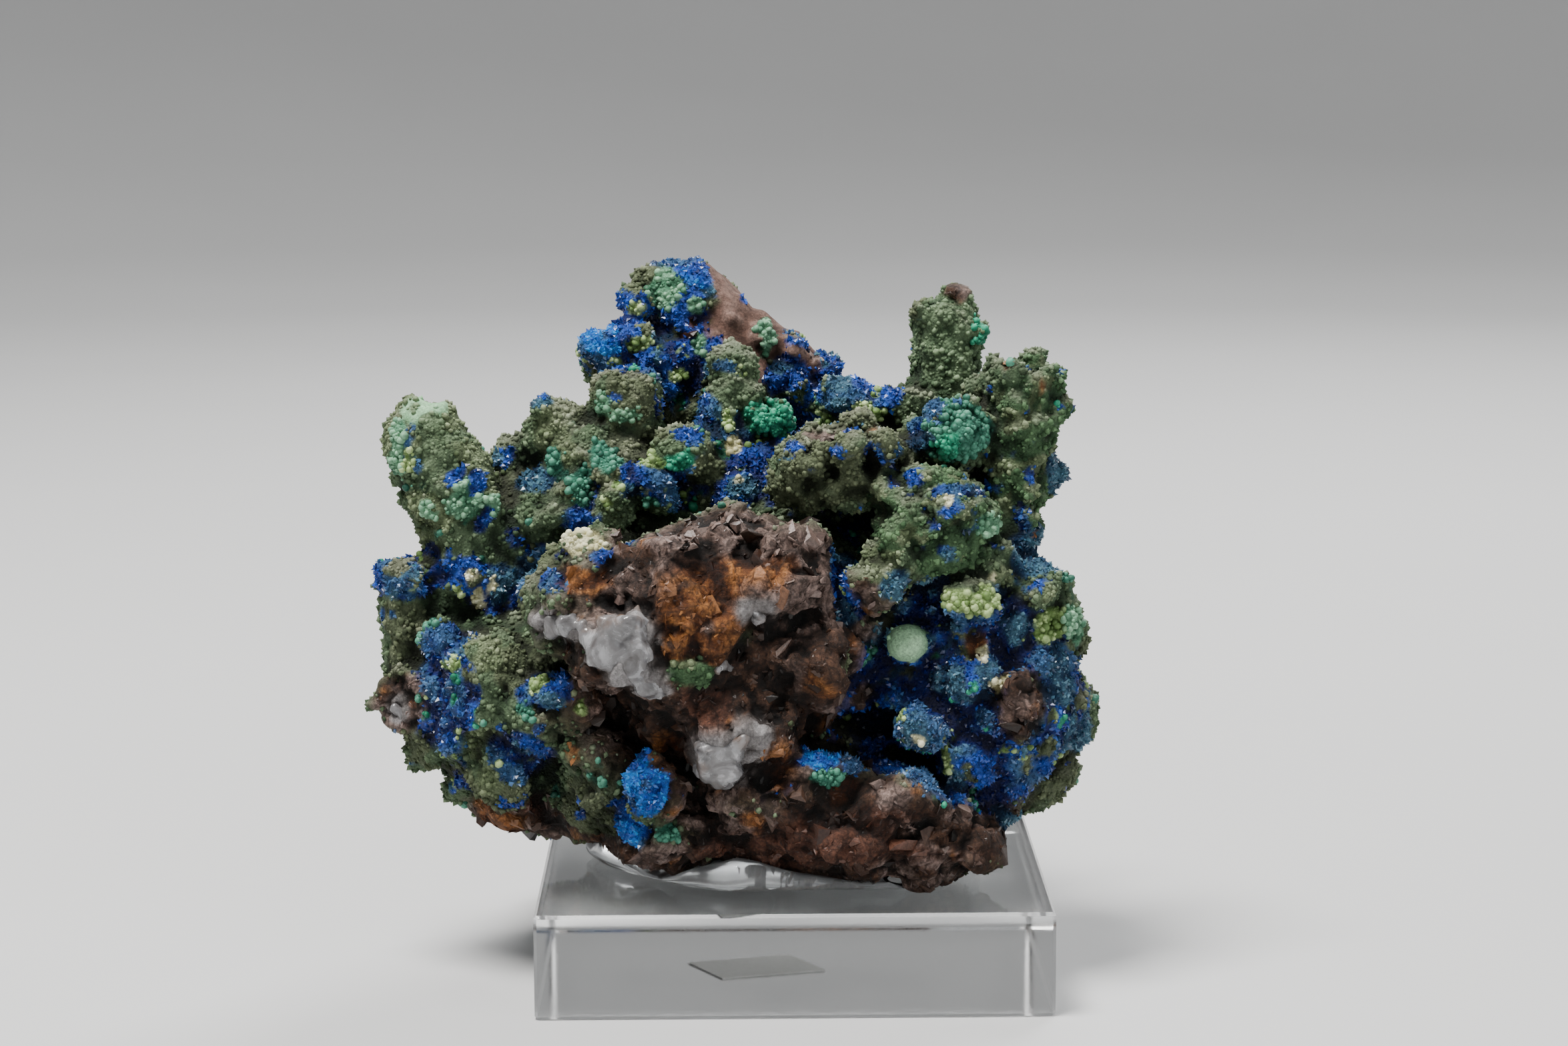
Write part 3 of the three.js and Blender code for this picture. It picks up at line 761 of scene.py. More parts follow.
# The rock: the solid's own form under a skin of lumps and chips.
def welded(node):
    shape = bmesh.new()
    shape.from_mesh(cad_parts[node].data)
    bmesh.ops.remove_doubles(shape, verts=shape.verts, dist=1e-6)
    mesh = bpy.data.meshes.new("welded")
    shape.to_mesh(mesh)
    shape.free()
    result = arrays_of(mesh)
    bpy.data.meshes.remove(mesh)
    return result


def sunk(points):
    points = points.copy()
    for middle, reach, push in HOLLOWS:
        near = np.clip(1 - np.linalg.norm((points - middle) / reach, axis=1) ** 2, 0, 1)
        points += np.sqrt(near)[:, None] * push
    return points


def knobs_on(base, normals, random):
    """Small balls over each patch that has knobs."""
    places, ways, sizes = [], [], []
    for name, middle, reach, *knobs in STROKES:
        if not knobs:
            continue
        inside = np.flatnonzero(np.linalg.norm((base - middle) / reach, axis=1) < 0.92)
        many = int(1.5 * reach[0] * reach[2] / knobs[0] ** 2) + 2
        chosen = random.choice(inside, min(many, len(inside)), replace=False)
        size = knobs[0] * random.uniform(0.5, 1.05, len(chosen))
        places.append(base[chosen] + normals[chosen] * 0.35 * size[:, None])
        ways.append(normals[chosen])
        sizes.append(size)
    return np.concatenate(places), np.concatenate(ways), np.concatenate(sizes)


def build_rock():
    random = np.random.default_rng(5)
    round_ball = ball(3)
    shapes = [welded("specimen")]
    middle, reach = SMOOTH_BALL
    shapes.append((round_ball[0] * reach + middle, round_ball[1]))
    for foot, head, wide, narrow, turn in PRISMS:
        shapes.append(prism(foot, head, wide, narrow, turn))
    for middle, reach in SHOULDERS:
        shapes.append((chip(12, 5)[0] * reach * 1.08 + middle, chip(12, 5)[1]))
    for middle, reach in BULGES:
        shapes.append((round_ball[0] * np.array(reach) * CORE_SHARE + middle, round_ball[1]))
        for _ in range(BULGE_LUMPS):
            way = random.normal(size=3)
            at = np.array(middle) + random.uniform(0.4, 0.8) * np.array(reach) * way / np.linalg.norm(way)
            size = np.array(reach) * random.uniform(0.28, 0.5)
            shapes.append((round_ball[0] * size + at, round_ball[1]))
    points, faces = skin(joined(shapes), BASE_VOXEL)
    base = (sunk(points), faces)
    normals = normals_of(base)
    cover = minerals(base[0])
    soft, hard = amount(cover, SOFT), amount(cover, HARD)
    middle, reach = SMOOTH_BALL
    shapes = [base, (round_ball[0] * reach * 1.06 + middle, round_ball[1])]
    for many, small, large in ((0.5 * soft, 0.3, 0.85), (0.05 * amount(cover, LUMPY), 1.1, 2.2)):
        at, normal, _ = scatter(base, many, random)
        size = random.uniform(small, large, len(at))
        flat = size[:, None] * random.uniform(0.75, 1.2, (len(at), 3))
        shapes.append(stamped(ball(2), at - normal * size[:, None] * 0.45, turns(normal, random), flat))
    at, normal, size = knobs_on(base[0], normals, random)
    shapes.append(stamped(ball(2), at, turns(normal, random), size))
    for seed, many, small, large in ((3, 0.06, 0.5, 1.1), (4, 0.01, 2.4, 4.6)):
        at, normal, _ = scatter(base, many * hard, random)
        shape = random.uniform([0.8, 0.6, 0.25], [1.3, 1.0, 0.5], (len(at), 3))
        size = random.uniform(small, large, len(at))[:, None] * shape
        lie = tilted(normal, 0.35, random)
        shapes.append(stamped(chip(12, seed), at - normal * 0.4 * size[:, 2:], turns(lie, random), size))
    shape = eased(skin(joined(shapes), SKIN_VOXEL), 0.5, 1)
    points, faces = shape
    cover = minerals(points)
    soft, hard = amount(cover, SOFT), amount(cover, HARD)
    # bumps like cauliflower on the crusts, flat breaks and ledges on the bare rock
    large, _, _ = cells(points, 1.7, 51)
    small, _, _ = cells(points, 0.85, 53)
    lift = soft * (0.3 * (0.5 - large) + 0.24 * (0.5 - small))
    for size, reach, step, seed in ((7.0, 2.2, 0.5, 55), (3.0, 0.75, 0.16, 57), (1.5, 0.3, 0.05, 65)):
        _, way, own = cells(pushed(points, 5, 0.3, 59), size, seed)
        slope = unit(own)
        lift = lift + hard * (reach * np.einsum("ij,ij->i", way, slope) + step * own[:, 0])
    lift = lift + hard * 0.26 * rough(points, 1.3, 61, 3) + cover["pink"] * 0.5 * rough(points, 6, 63, 4)
    points = points + normals_of(shape) * np.clip(lift, LIFT_IN, LIFT_OUT)[:, None]
    calm = eased((points, faces), 0.5, 6)[0]
    spike = smoothstep(np.linalg.norm(calm - points, axis=1, keepdims=True), 0.3, 0.65)
    points = points + spike * (calm - points)
    points[:, 2] = np.maximum(points[:, 2], BLOCK_TOP + 0.3)
    return points, faces


rock_shape = build_rock()
rock_points, rock_faces = rock_shape
rock_normals = normals_of(rock_shape)
rock_cover = minerals(rock_points)
rock_hollow = np.einsum(
    "ij,ij->i", eased(rock_shape, 0.6, 14)[0] - rock_points, rock_normals
) + 0.6 * np.einsum("ij,ij->i", eased(rock_shape, 0.6, 60)[0] - rock_points, rock_normals)

# Pale dust lies on the crusts where they face up and on the outer lumps of azurite: partly dust, partly
# painted light on the tops and painted highlights on the lumps. In its hollows the bare rock turns to dark
# iron and the quartz to mauve, as painted shade.
dust_and_top_light = smoothstep(rock_normals[:, 2], 0.1, 0.8) * smoothstep(rough(rock_points, 5, 85), -0.3, 0.3)
dust_and_highlight = smoothstep(-rock_hollow, 0.03, 0.16) * smoothstep(rough(rock_points, 7, 81), -0.05, 0.2)
for old, new, share in (
    *((coat, "dust", 0.6 * dust_and_top_light) for coat in COATS[:-1]),
    ("azurite", "dusty", 0.7 * dust_and_highlight),
    ("mauve", "iron", smoothstep(rock_hollow, 0.05, 0.2)),
    ("quartz", "mauve", 0.6 * smoothstep(rock_hollow, 0.1, 0.25)),
):
    moved = rock_cover[old] * share
    rock_cover[old] = rock_cover[old] - moved
    rock_cover[new] = rock_cover[new] + moved

# Colours: dark, middle and light tones of each mineral.
TONES = {
    "malachite": ((0.007, 0.013, 0.006), (0.036, 0.062, 0.030), (0.135, 0.190, 0.105)),
    "khaki": ((0.012, 0.017, 0.007), (0.060, 0.085, 0.038), (0.200, 0.245, 0.135)),
    "sage": ((0.011, 0.020, 0.009), (0.054, 0.092, 0.046), (0.190, 0.265, 0.148)),
    "olive": ((0.008, 0.010, 0.005), (0.040, 0.053, 0.026), (0.140, 0.165, 0.092)),
    "green": ((0.005, 0.014, 0.005), (0.027, 0.062, 0.026), (0.105, 0.190, 0.088)),
    "azurite": ((0.001, 0.002, 0.018), (0.002, 0.010, 0.100), (0.020, 0.085, 0.420)),
    "dusty": ((0.002, 0.008, 0.024), (0.010, 0.036, 0.080), (0.070, 0.170, 0.230)),
    "vivid": ((0.001, 0.010, 0.090), (0.003, 0.042, 0.290), (0.015, 0.210, 0.560)),
    "teal": ((0.003, 0.024, 0.015), (0.013, 0.085, 0.054), (0.080, 0.270, 0.180)),
    "jade": ((0.010, 0.042, 0.022), (0.055, 0.165, 0.090), (0.215, 0.410, 0.255)),
    "emerald": ((0.001, 0.026, 0.012), (0.003, 0.125, 0.064), (0.035, 0.360, 0.210)),
    "lime": ((0.034, 0.066, 0.014), (0.135, 0.225, 0.062), (0.420, 0.540, 0.240)),
    "cream": ((0.180, 0.160, 0.070), (0.460, 0.440, 0.240), (0.760, 0.740, 0.520)),
    "mint": ((0.050, 0.110, 0.055), (0.165, 0.330, 0.175), (0.380, 0.610, 0.380)),
    "iron": ((0.003, 0.0016, 0.001), (0.019, 0.0085, 0.0045), (0.075, 0.036, 0.021)),
    "mauve": ((0.014, 0.0082, 0.0062), (0.072, 0.045, 0.036), (0.250, 0.180, 0.157)),
    "rust": ((0.016, 0.004, 0.001), (0.100, 0.032, 0.008), (0.340, 0.140, 0.040)),
    "red": ((0.007, 0.0024, 0.0013), (0.038, 0.0135, 0.0070), (0.125, 0.052, 0.032)),
    "quartz": ((0.026, 0.022, 0.021), (0.105, 0.094, 0.090), (0.340, 0.325, 0.325)),
    "dust": ((0.030, 0.031, 0.020), (0.105, 0.110, 0.074), (0.265, 0.270, 0.200)),
    "pink": ((0.036, 0.018, 0.013), (0.105, 0.057, 0.043), (0.240, 0.158, 0.130)),
}


def toned(cover, tone):
    """The colour at each point: its minerals, each between its dark and its light tone."""
    tone = np.clip(tone, 0, 1)[:, None]
    total = np.zeros((len(tone), 3))
    for name, share in cover.items():
        dark, middle, light = (np.array(colour) for colour in TONES[name])
        low = dark + (middle - dark) * np.clip(2 * tone, 0, 1)
        total += share[:, None] * (low + (light - middle) * np.clip(2 * tone - 1, 0, 1))
    return total / np.maximum(amount(cover, MINERALS), 1e-6)[:, None]


def with_colour(piece, colour):
    attribute = piece.data.attributes.new("tint", "FLOAT_COLOR", "POINT")
    rows = np.concatenate([colour, np.ones((len(colour), 1))], axis=1)
    attribute.data.foreach_set("color", rows.astype(np.float32).ravel())
    return piece


_, _, rock_cell = cells(rock_points, 0.8, 71)
_, _, rock_break = cells(pushed(rock_points, 3, 0.5, 59), 2.6, 73)
rock_hard = amount(rock_cover, HARD)
# The tone is darker in the hollows and lighter on the rounded tops, as painted shade and painted light; the
# rest of it is random tone and breaks.
rock_tone = (
    0.47 + 0.20 * rough(rock_points, 2.4, 75) + 0.10 * rock_cell[:, 0] * (1 - rock_hard)
    + 0.16 * rock_break[:, 1] * rock_hard - 0.9 * np.clip(rock_hollow, -0.25, 0.5)
    + 0.22 * (np.linalg.norm(rock_points - SMOOTH_BALL[0], axis=1) < 3.2)
)


def halves():
    """The rock in two, so that neither piece has too many triangles."""
    middle = np.median(rock_points[rock_faces[:, 0], 0])
    left = rock_points[rock_faces[:, 0], 0] < middle
    return rock_faces[left], rock_faces[~left]


def build_rock_pieces():
    """What the rock's material reads at each point: its colour, its gloss, how bare and how grainy it is."""
    colour = toned(rock_cover, rock_tone)
    gloss = rock_cover["quartz"] + 0.5 * amount(rock_cover, ("azurite", "vivid", "emerald")) + 0.3 * rock_hard
    bare = rock_hard + 0.4 * rock_cover["pink"] - 0.7 * rock_cover["quartz"]
    grain = 1 - amount(rock_cover, HARD + ("pink", "mint"))
    pieces = []
    for name, faces in zip(("rock_left", "rock_right"), halves()):
        used, numbered = np.unique(faces, return_inverse=True)
        piece = make(name, rock_points[used], numbered.reshape(-1, 3))
        with_colour(piece, colour[used])
        pieces.append(with_values(piece, gloss=gloss[used], bare=bare[used], grain=grain[used]))
    return pieces


rock_pieces = build_rock_pieces()
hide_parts("specimen")


def grown(name, template, per_mm2, low, high, seed, shares, flat=False, lean=0.0,
          shape=((1, 1, 1), (1, 1, 1)), lift=0.0, bright=0.0):
    """Small crystals or grains on the rock: shares says which minerals carry them, and how thickly."""
    random = np.random.default_rng(seed)
    thickness = per_mm2 * sum(share * rock_cover[mineral] for mineral, share in shares.items())
    thickness = thickness * np.clip(1.0 - 1.2 * rock_hollow, 0.25, 1.6)
    at, normal, point = scatter(rock_shape, thickness, random)
    radius = low + (high - low) * random.random(len(at)) ** 2
    size = radius[:, None] * random.uniform(*shape, (len(at), 3))
    at = at + normal * lift * radius[:, None]
    placed = stamped(template, at, turns(tilted(normal, lean, random), random), size)
    piece = make(name, *placed, smooth=not flat)
    cover = {mineral: rock_cover[mineral][point] * shares.get(mineral, 0) for mineral in MINERALS}
    # The grains take the rock's tone, painted shade in the hollows included, kept from going black.
    tone = np.maximum(rock_tone[point] + bright + random.normal(size=len(at)) * 0.17, 0.16)
    return with_colour(piece, np.repeat(toned(cover, tone), len(template[0]), axis=0))


CRUSTS = {"dust": 1, "malachite": 1, "khaki": 1, "sage": 1, "olive": 1, "green": 1, "mint": 0.1}
BLUES = {"azurite": 1, "dusty": 0.9, "vivid": 1}
BALLS = {"teal": 1, "jade": 1, "emerald": 1, "lime": 1, "cream": 0.7}
grains = grown("malachite_grains", globe(5, 1), 1.25, 0.19, 0.52, 8, CRUSTS,
               shape=((0.8,) * 3, (1.25,) * 3), lift=0.15, bright=0.08)
blades = grown("azurite_crystals", BLADE, 3.5, 0.24, 0.66, 7, BLUES, flat=True, lean=0.6,
               shape=((0.35, 0.5, 0.8), (0.6, 0.8, 1.2)), bright=0.04)
beads = grown("botryoidal_malachite", globe(7, 3), 2.2, 0.2, 0.62, 9, BALLS,
              shape=((0.85,) * 3, (1.15,) * 3), lift=0.1, bright=0.1)

# The broken rock's flat chips: a seed, how many per square millimetre, and their sizes.
CHIPS = [(2, 0.6, 0.35, 0.75), (6, 0.3, 0.5, 1.1), (9, 0.07, 1.1, 2.0), (13, 0.016, 1.8, 2.8)]


def build_broken_rock():
    """Flat-sided breaks in the surface of the bare rock."""
    random = np.random.default_rng(31)
    bare = smoothstep(rock_hard, 0.6, 0.95) * (1 - rock_cover["quartz"])
    shapes, colours = [], []
    for seed, per_mm2, low, high in CHIPS:
        template = chip(8, seed)
        at, normal, point = scatter(rock_shape, per_mm2 * bare, random)
        size = random.uniform(low, high, (len(at), 1))
        size = size * random.uniform([0.8, 0.6, 0.3], [1.3, 1.0, 0.5], (len(at), 3))
        lie = turns(tilted(normal, 0.2, random), random)
        shapes.append(stamped(template, at - normal * 0.78 * size[:, 2:], lie, size))
        cover = {mineral: rock_cover[mineral][point] * (mineral in HARD) for mineral in MINERALS}
        # The chips take the rock's tone, painted shade in the hollows included.
        tone = np.minimum(rock_tone[point] + random.normal(size=len(at)) * 0.1, 0.78)
        colours.append(np.repeat(toned(cover, tone), len(template[0]), axis=0))
    return with_colour(make("broken_rock", *joined(shapes), smooth=False), np.concatenate(colours))


fragments = build_broken_rock()

# Quartz: clusters of broken glassy chunks, each a middle, a reach, how many, and their sizes.
QUARTZ = [
    ((-20.4, -1, 46.4), (0.2, 0, 0.2), 1, (5.8, 5.9)),
    ((-17.8, -1, 47.0), (0.3, 0, 0.3), 1, (4.6, 4.8)),
    ((-22.8, -1, 44.6), (0.8, 0, 0.6), 3, (3.2, 3.8)),
    ((-19.4, -1, 43.4), (0.8, 0, 0.8), 2, (2.8, 3.4)),
    ((-18.2, -1, 41.0), (1.6, 0, 1.2), 4, (1.6, 2.6)),
    ((-24.8, -1, 46.8), (0.8, 0, 0.8), 2, (2.0, 2.8)),
    ((-28.4, -1, 47.2), (2.6, 0, 0.4), 4, (1.6, 2.6)),
    ((-9.4, -1, 31.2), (1.0, 0, 0.8), 3, (3.8, 4.6)),
    ((-8.6, -1, 31.2), (3.0, 0, 2.6), 8, (1.6, 2.8)),
    ((-5.6, -1, 34.2), (1.0, 0, 1.2), 3, (2.2, 3.2)),
    ((-4.3, -1, 49), (1.2, 0, 0.6), 3, (1.2, 1.9)),
    ((-16.5, -1, 39.2), (1.0, 0, 0.4), 2, (0.9, 1.3)),
    ((-8.5, -1, 43.0), (0.9, 0, 0.7), 3, (0.8, 1.3)),
    ((-50.1, -1, 33.6), (0.3, 0, 0.3), 2, (1.1, 1.5)),
    ((-6.0, 1, 32.0), (2.4, 0, 1.8), 5, (1.6, 2.8)),
]


def build_quartz():
    """Each chunk stands half out of the rock, at the front or, where its row says 1, at the back."""
    random = np.random.default_rng(17)
    shapes = []
    for middle, reach, many, sizes in QUARTZ:
        for _ in range(many):
            at = np.array(middle) + random.uniform(-1, 1, 3) * reach
            size = random.uniform(*sizes) * random.uniform([0.65, 0.6, 0.8], [0.85, 0.75, 1.05])
            near = rock_points[np.hypot(rock_points[:, 0] - at[0], rock_points[:, 2] - at[2]) < 1.0, 1]
            depth = np.sort(near * middle[1])[-15:].mean()
            at[1] = (depth - 0.3 * size[1]) * middle[1]
            turn = turns(np.array([[random.normal(0, 0.3), random.normal(0, 0.3), 1.0]]), random)
            shapes.append(stamped(chip(14, random.integers(1000)), at[None], turn, size[None]))
    lump = eased(skin(joined(shapes), QUARTZ_VOXEL), 0.5, 3)
    points, faces = lump
    _, way, own = cells(pushed(points, 3, 0.3, 83), 2.6, 87)
    slope = unit(own)
    lift = 0.5 * np.einsum("ij,ij->i", way, slope) + 0.1 * rough(points, 1.8, 89, 2)
    points, faces = eased((points + normals_of(lump) * lift[:, None], faces), 0.5, 3)
    return make("quartz", points, faces)


quartz = build_quartz()


# Materials
class Nodes:
    """A material's node tree, built one node at a time."""

    def __init__(self, name):
        self.material = bpy.data.materials.new(name)
        self.material.use_nodes = True
        self.tree = self.material.node_tree
        self.shader = self.tree.nodes["Principled BSDF"]

    def add(self, kind, **settings):
        node = self.tree.nodes.new(kind)
        for key, value in settings.items():
            setattr(node, key, value)
        return node

    def link(self, output, target):
        self.tree.links.new(output, target)

    def fill(self, socket, value):
        if isinstance(value, bpy.types.NodeSocket):
            self.link(value, socket)
        else:
            socket.default_value = (*value, 1) if isinstance(value, tuple) else value

    def value(self, name, output="Fac"):
        return self.add("ShaderNodeAttribute", attribute_name=name).outputs[output]

    def place(self):
        return self.add("ShaderNodeTexCoord").outputs["Object"]

    def noise(self, per_metre, detail=4, roughness=0.6, distortion=0.0):
        node = self.add("ShaderNodeTexNoise")
        numbers = {"Scale": per_metre, "Detail": detail, "Roughness": roughness, "Distortion": distortion}
        for key, number in numbers.items():
            node.inputs[key].default_value = number
        self.link(self.place(), node.inputs["Vector"])
        return node.outputs["Fac"]

    def voronoi(self, per_metre, feature="F1"):
        node = self.add("ShaderNodeTexVoronoi", feature=feature)
        node.inputs["Scale"].default_value = per_metre
        self.link(self.place(), node.inputs["Vector"])
        return node.outputs["Distance"]

    def facets(self, per_metre):
        """Flat breaks, each cell leaning its own way."""
        cell = self.add("ShaderNodeTexVoronoi")
        cell.inputs["Scale"].default_value = per_metre
        self.link(self.place(), cell.inputs["Vector"])
        inside = self.add("ShaderNodeVectorMath", operation="SUBTRACT")
        self.link(self.place(), inside.inputs[0])
        self.link(cell.outputs["Position"], inside.inputs[1])
        lean = self.add("ShaderNodeVectorMath", operation="SUBTRACT")
        self.link(cell.outputs["Color"], lean.inputs[0])
        lean.inputs[1].default_value = (0.5, 0.5, 0.5)
        height = self.add("ShaderNodeVectorMath", operation="DOT_PRODUCT")
        self.link(inside.outputs[0], height.inputs[0])
        self.link(lean.outputs[0], height.inputs[1])
        return self.math("MULTIPLY", height.outputs["Value"], float(per_metre))

    def ramp(self, fac, stops):
        node = self.add("ShaderNodeValToRGB")
        elements = node.color_ramp.elements
        while len(elements) < len(stops):
            elements.new(0.5)
        for element, (position, colour) in zip(elements, stops):
            element.position = position
            element.color = (*colour, 1)
        self.link(fac, node.inputs["Fac"])
        return node.outputs["Color"]

    def mix(self, fac, first, second, mode="MIX"):
        node = self.add("ShaderNodeMix", data_type="RGBA", blend_type=mode)
        for index, value in (("Factor", fac), (6, first), (7, second)):
            self.fill(node.inputs[index], value)
        return node.outputs[2]

    def math(self, operation, *values):
        node = self.add("ShaderNodeMath", operation=operation)
        for socket, value in zip(node.inputs, values):
            self.fill(socket, value)
        return node.outputs["Value"]

    def remap(self, value, low, high, to_low=0.0, to_high=1.0):
        node = self.add("ShaderNodeMapRange", clamp=True)
        self.link(value, node.inputs["Value"])
        numbers = {"From Min": low, "From Max": high, "To Min": to_low, "To Max": to_high}
        for key, number in numbers.items():
            node.inputs[key].default_value = number
        return node.outputs["Result"]

    def bump(self, height, distance_mm, strength=1.0):
        node = self.add("ShaderNodeBump")
        node.inputs["Distance"].default_value = distance_mm * MM
        self.fill(node.inputs["Strength"], strength)
        self.link(height, node.inputs["Height"])
        self.link(node.outputs["Normal"], self.shader.inputs["Normal"])

    def set(self, **numbers):
        for key, value in numbers.items():
            self.fill(self.shader.inputs[key.replace("_", " ")], value)


def speckled(nodes, dark, light):
    """The piece's own colour with fine grain in it."""
    fine = nodes.noise(2800, 6, 0.7)
    shade = nodes.ramp(fine, [(0.3, (dark,) * 3), (0.7, (light,) * 3)])
    return nodes.mix(1.0, nodes.value("tint", "Color"), shade, "MULTIPLY"), fine


def rock_material():
    nodes = Nodes("rock_minerals")
    colour, fine = speckled(nodes, 0.55, 1.5)
    bare = nodes.value("bare")
    mottle = nodes.ramp(
        nodes.noise(1100, 5, 0.7, 0.6), [(0.36, (0.42, 0.38, 0.36)), (0.5, (0.95,) * 3), (0.66, (1.9,) * 3)]
    )
    cracks = nodes.remap(nodes.voronoi(420, "DISTANCE_TO_EDGE"), 0.0, 0.09, 0.45, 1.0)
    mottled = nodes.mix(1.0, nodes.mix(1.0, colour, mottle, "MULTIPLY"), cracks, "MULTIPLY")
    nodes.set(Base_Color=nodes.mix(bare, colour, mottled), Specular_IOR_Level=0.28)
    rough_part = nodes.math("MULTIPLY_ADD", nodes.value("gloss"), -0.55, 0.92)
    nodes.set(Roughness=nodes.math("MULTIPLY_ADD", fine, 0.25, nodes.math("SUBTRACT", rough_part, 0.12)))
    grain = nodes.math("MULTIPLY", nodes.voronoi(2600), nodes.value("grain"))
    breaks = nodes.math("MULTIPLY_ADD", nodes.facets(520), 2.6, nodes.facets(1300))
    grainy = nodes.math("SUBTRACT", fine, grain)
    nodes.bump(nodes.math("MULTIPLY_ADD", nodes.math("MULTIPLY", breaks, bare), 0.9, grainy), 0.3, 1.0)
    return nodes.material


def grain_material(name, dark, light, roughness, bump, **settings):
    nodes = Nodes(name)
    colour, fine = speckled(nodes, dark, light)
    shine = nodes.remap(fine, 0.3, 0.7, roughness + 0.08, roughness - 0.08)
    nodes.set(Base_Color=colour, Roughness=shine, **settings)
    nodes.bump(nodes.noise(5200, 3), bump, 0.6)
    return nodes.material


def quartz_material():
    nodes = Nodes("milky_quartz")
    veil = nodes.noise(300, 5, 0.6, 1.5)
    stain = nodes.noise(150, 4, 0.6)
    milk = nodes.ramp(
        veil, [(0.34, (0.13, 0.12, 0.12)), (0.52, (0.27, 0.265, 0.27)), (0.72, (0.60, 0.60, 0.62))]
    )
    colour = nodes.mix(nodes.remap(stain, 0.52, 0.70, 0.0, 0.75), milk, (0.24, 0.13, 0.07))
    nodes.set(Base_Color=colour, IOR=1.54, Transmission_Weight=0.4)
    nodes.set(Roughness=nodes.remap(veil, 0.4, 0.7, 0.12, 0.4))
    nodes.bump(nodes.math("MULTIPLY_ADD", nodes.facets(260), 1.0, nodes.noise(700, 4, 0.6)), 0.3, 0.4)
    return nodes.material


def clear_material(name, ior, tint, roughness, scratches, clear):
    nodes = Nodes(name)
    marks = nodes.noise(700, 8, 0.75, 2.0)
    nodes.set(Base_Color=tint, IOR=ior, Transmission_Weight=clear)
    nodes.set(Roughness=nodes.remap(marks, 0.52, 0.75, roughness, roughness + scratches))
    nodes.bump(marks, 0.02, 0.15)
    return nodes.material


def paper_material():
    nodes = Nodes("white_paper")
    fibres = nodes.noise(3000, 6)
    paper = nodes.ramp(fibres, [(0.3, (0.74, 0.74, 0.70)), (0.7, (0.86, 0.86, 0.83))])
    nodes.set(Base_Color=paper, Roughness=0.9)
    nodes.bump(fibres, 0.02, 0.5)
    return nodes.material


def wear(piece, material):
    piece.data.materials.clear()
    piece.data.materials.append(material)


mineral = rock_material()
dust = grain_material("malachite_dust", 0.6, 1.4, 0.88, 0.1, Specular_IOR_Level=0.2)
azurite = grain_material("azurite", 0.7, 1.35, 0.28, 0.03, Specular_IOR_Level=0.5)
malachite = grain_material("botryoidal_malachite", 0.75, 1.25, 0.55, 0.05, Specular_IOR_Level=0.3)
broken = grain_material("broken_iron_rock", 0.45, 1.6, 0.42, 0.08, Specular_IOR_Level=0.4)
for piece, material in (
    *((half, mineral) for half in rock_pieces), (grains, dust), (blades, azurite), (beads, malachite),
    (quartz, quartz_material()), (fragments, broken),
):
    wear(piece, material)
    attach(piece, "root")


# The clear block, the adhesive and the label
def build_pool():
    pool = eased(skin(welded("adhesive"), POOL_VOXEL), 0.6, 20)
    points, faces = pool
    points = points + normals_of(pool) * (0.3 * noise(points, 13, 71) + 0.06 * noise(points, 5, 73))[:, None]
    points[:, 2] = np.maximum(points[:, 2], BLOCK_TOP - 0.02)
    return make("adhesive_pool", points, faces)


def build_label():
    """The label as seen through the block: it is stuck flat, so it sits in the plastic's surface."""
    low, high = take([LABEL_LOW])[0], take([LABEL_HIGH])[0]
    points, faces = welded("label")
    points[:, 2] = np.where(points[:, 2] > (low[2] + high[2]) / 2, LABEL_TOP, LABEL_BOTTOM)
    return make("paper_label", points, faces, smooth=False)


LABEL_LOW, LABEL_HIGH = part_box("label")
pool = build_pool()
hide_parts("adhesive")
wear(pool, clear_material("clear_adhesive", 1.42, (0.86, 0.88, 0.89), 0.12, 0.16, 0.82))
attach(pool, "root")
acrylic = clear_material("clear_acrylic", 1.49, (0.99, 1.0, 1.0), 0.02, 0.12, 1.0)
wear(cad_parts["acrylic_block"], acrylic)
label = build_label()
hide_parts("label")
wear(label, paper_material())
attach(label, "root")


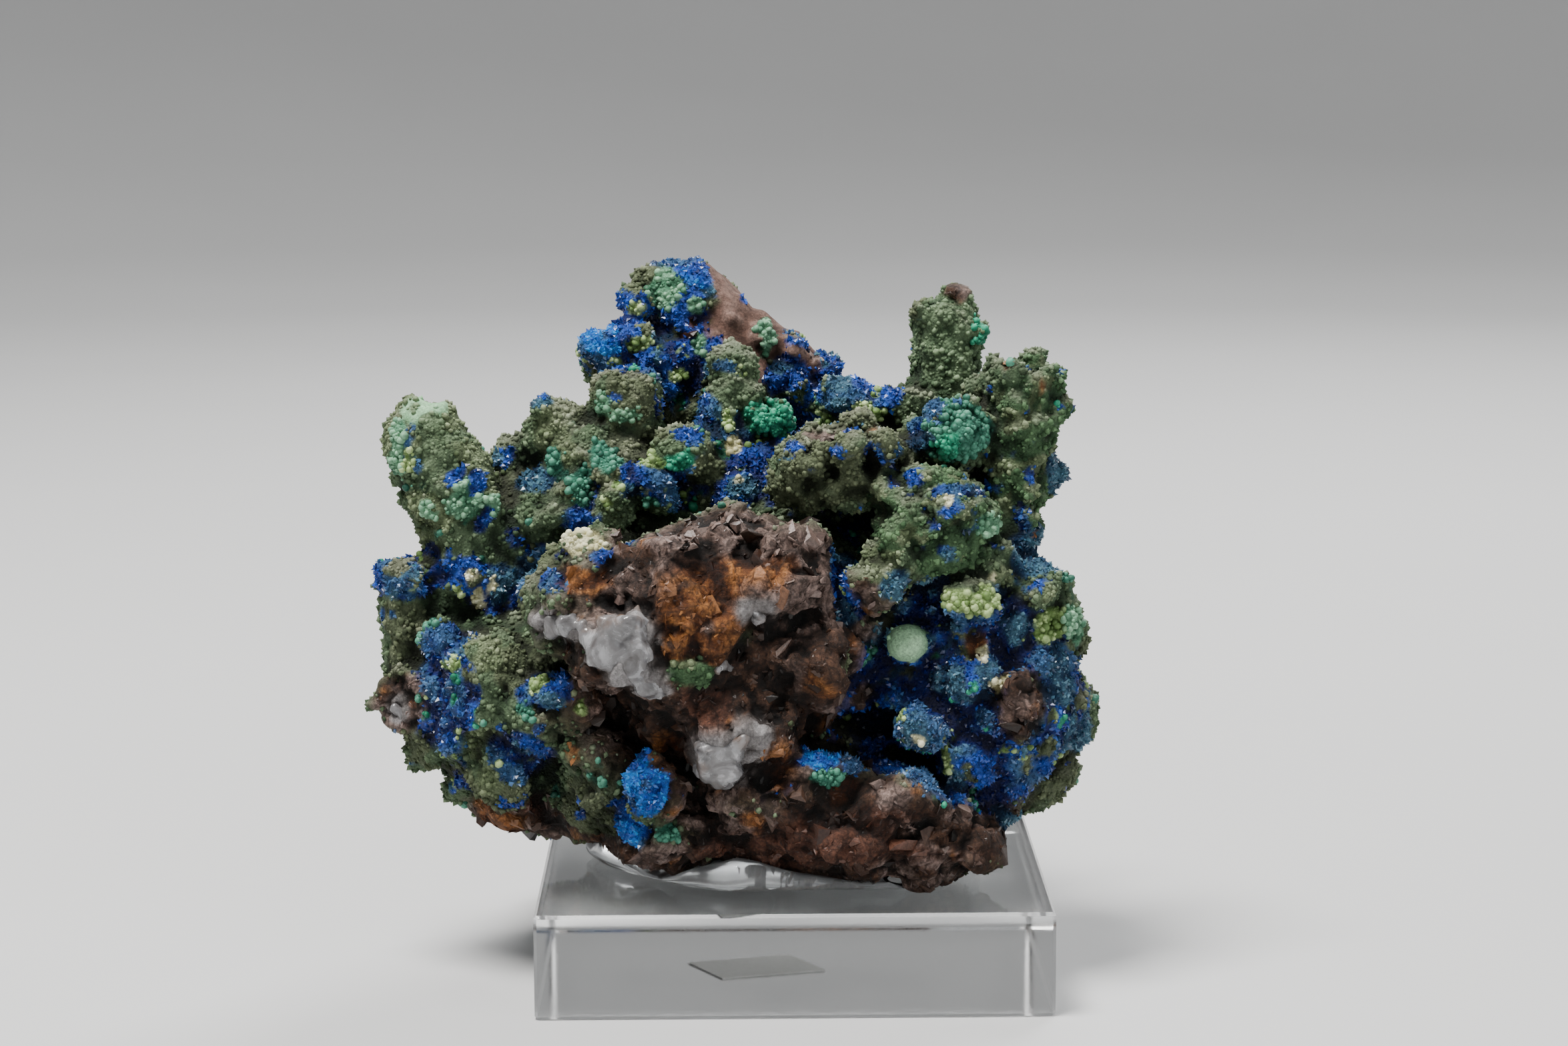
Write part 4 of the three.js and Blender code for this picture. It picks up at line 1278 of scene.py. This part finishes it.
# The stage: a pale floor, soft lights and the camera
def build_stage():
    """A round pale floor that curves up into a wall all the way round."""
    profile = [(0.0, 0.0), (FLOOR_FLAT, 0.0)]
    for i in range(1, CURVE_STEPS + 1):
        turn = math.radians(90 * i / CURVE_STEPS)
        profile.append((FLOOR_FLAT + FLOOR_CURVE * math.sin(turn), FLOOR_CURVE * (1 - math.cos(turn))))
    profile.append((FLOOR_FLAT + FLOOR_CURVE, WALL_TOP))
    steps = FLOOR_STEPS
    points, faces = [(0.0, 0.0, FLOOR_LEVEL)], []
    for radius, height in profile[1:]:
        for i in range(steps):
            turn = 2 * math.pi * i / steps
            points.append((radius * math.cos(turn), radius * math.sin(turn), height + FLOOR_LEVEL))
    for i in range(steps):
        faces.append((0, 1 + i, 1 + (i + 1) % steps))
    for ring in range(len(profile) - 2):
        inner, outer = 1 + ring * steps, 1 + (ring + 1) * steps
        for i in range(steps):
            j = (i + 1) % steps
            faces.append((inner + i, outer + i, outer + j, inner + j))
    mesh = bpy.data.meshes.new("floor")
    mesh.from_pydata(points, [], faces)
    mesh.polygons.foreach_set("use_smooth", [True] * len(mesh.polygons))
    floor = bpy.data.objects.new("floor", mesh)
    bpy.context.scene.collection.objects.link(floor)
    nodes = Nodes("pale_floor")
    grey = nodes.ramp(nodes.noise(3, 3), [(0.3, (0.50, 0.50, 0.50)), (0.7, (0.53, 0.53, 0.53))])
    nodes.set(Base_Color=grey, Roughness=0.8)
    floor.data.materials.append(nodes.material)
    world = bpy.data.worlds.new("studio")
    bpy.context.scene.world = world
    world.use_nodes = True
    background = world.node_tree.nodes["Background"]
    background.inputs["Color"].default_value = SKY_COLOUR
    background.inputs["Strength"].default_value = SKY_STRENGTH


def light(name, at, towards, size, watts, colour):
    lamp = bpy.data.lights.new(name, "AREA")
    lamp.size = size
    lamp.energy = watts
    lamp.color = colour
    holder = bpy.data.objects.new(name, lamp)
    holder.location = at
    aim = Vector(towards) - Vector(at)
    holder.rotation_mode = "QUATERNION"
    holder.rotation_quaternion = aim.to_track_quat("-Z", "Y")
    bpy.context.scene.collection.objects.link(holder)


def build_camera():
    lens = bpy.data.cameras.new("camera")
    lens.sensor_fit = "HORIZONTAL"
    lens.sensor_width = SENSOR_WIDTH
    lens.lens = FOCAL_PX / IMAGE_WIDTH_PX * SENSOR_WIDTH
    lens.clip_start = 0.01
    lens.clip_end = 20
    camera = bpy.data.objects.new("camera", lens)
    turn = (
        Matrix.Rotation(-math.radians(CAMERA_YAW), 4, "Z")
        @ Matrix.Rotation(math.radians(90 - CAMERA_PITCH), 4, "X")
        @ Matrix.Rotation(-math.radians(CAMERA_ROLL), 4, "Z")
    )
    camera.matrix_world = Matrix.Translation(put(CAMERA_AT)) @ turn
    bpy.context.scene.collection.objects.link(camera)
    bpy.context.scene.camera = camera


build_stage()
for row in LIGHTS:
    light(*row)
build_camera()
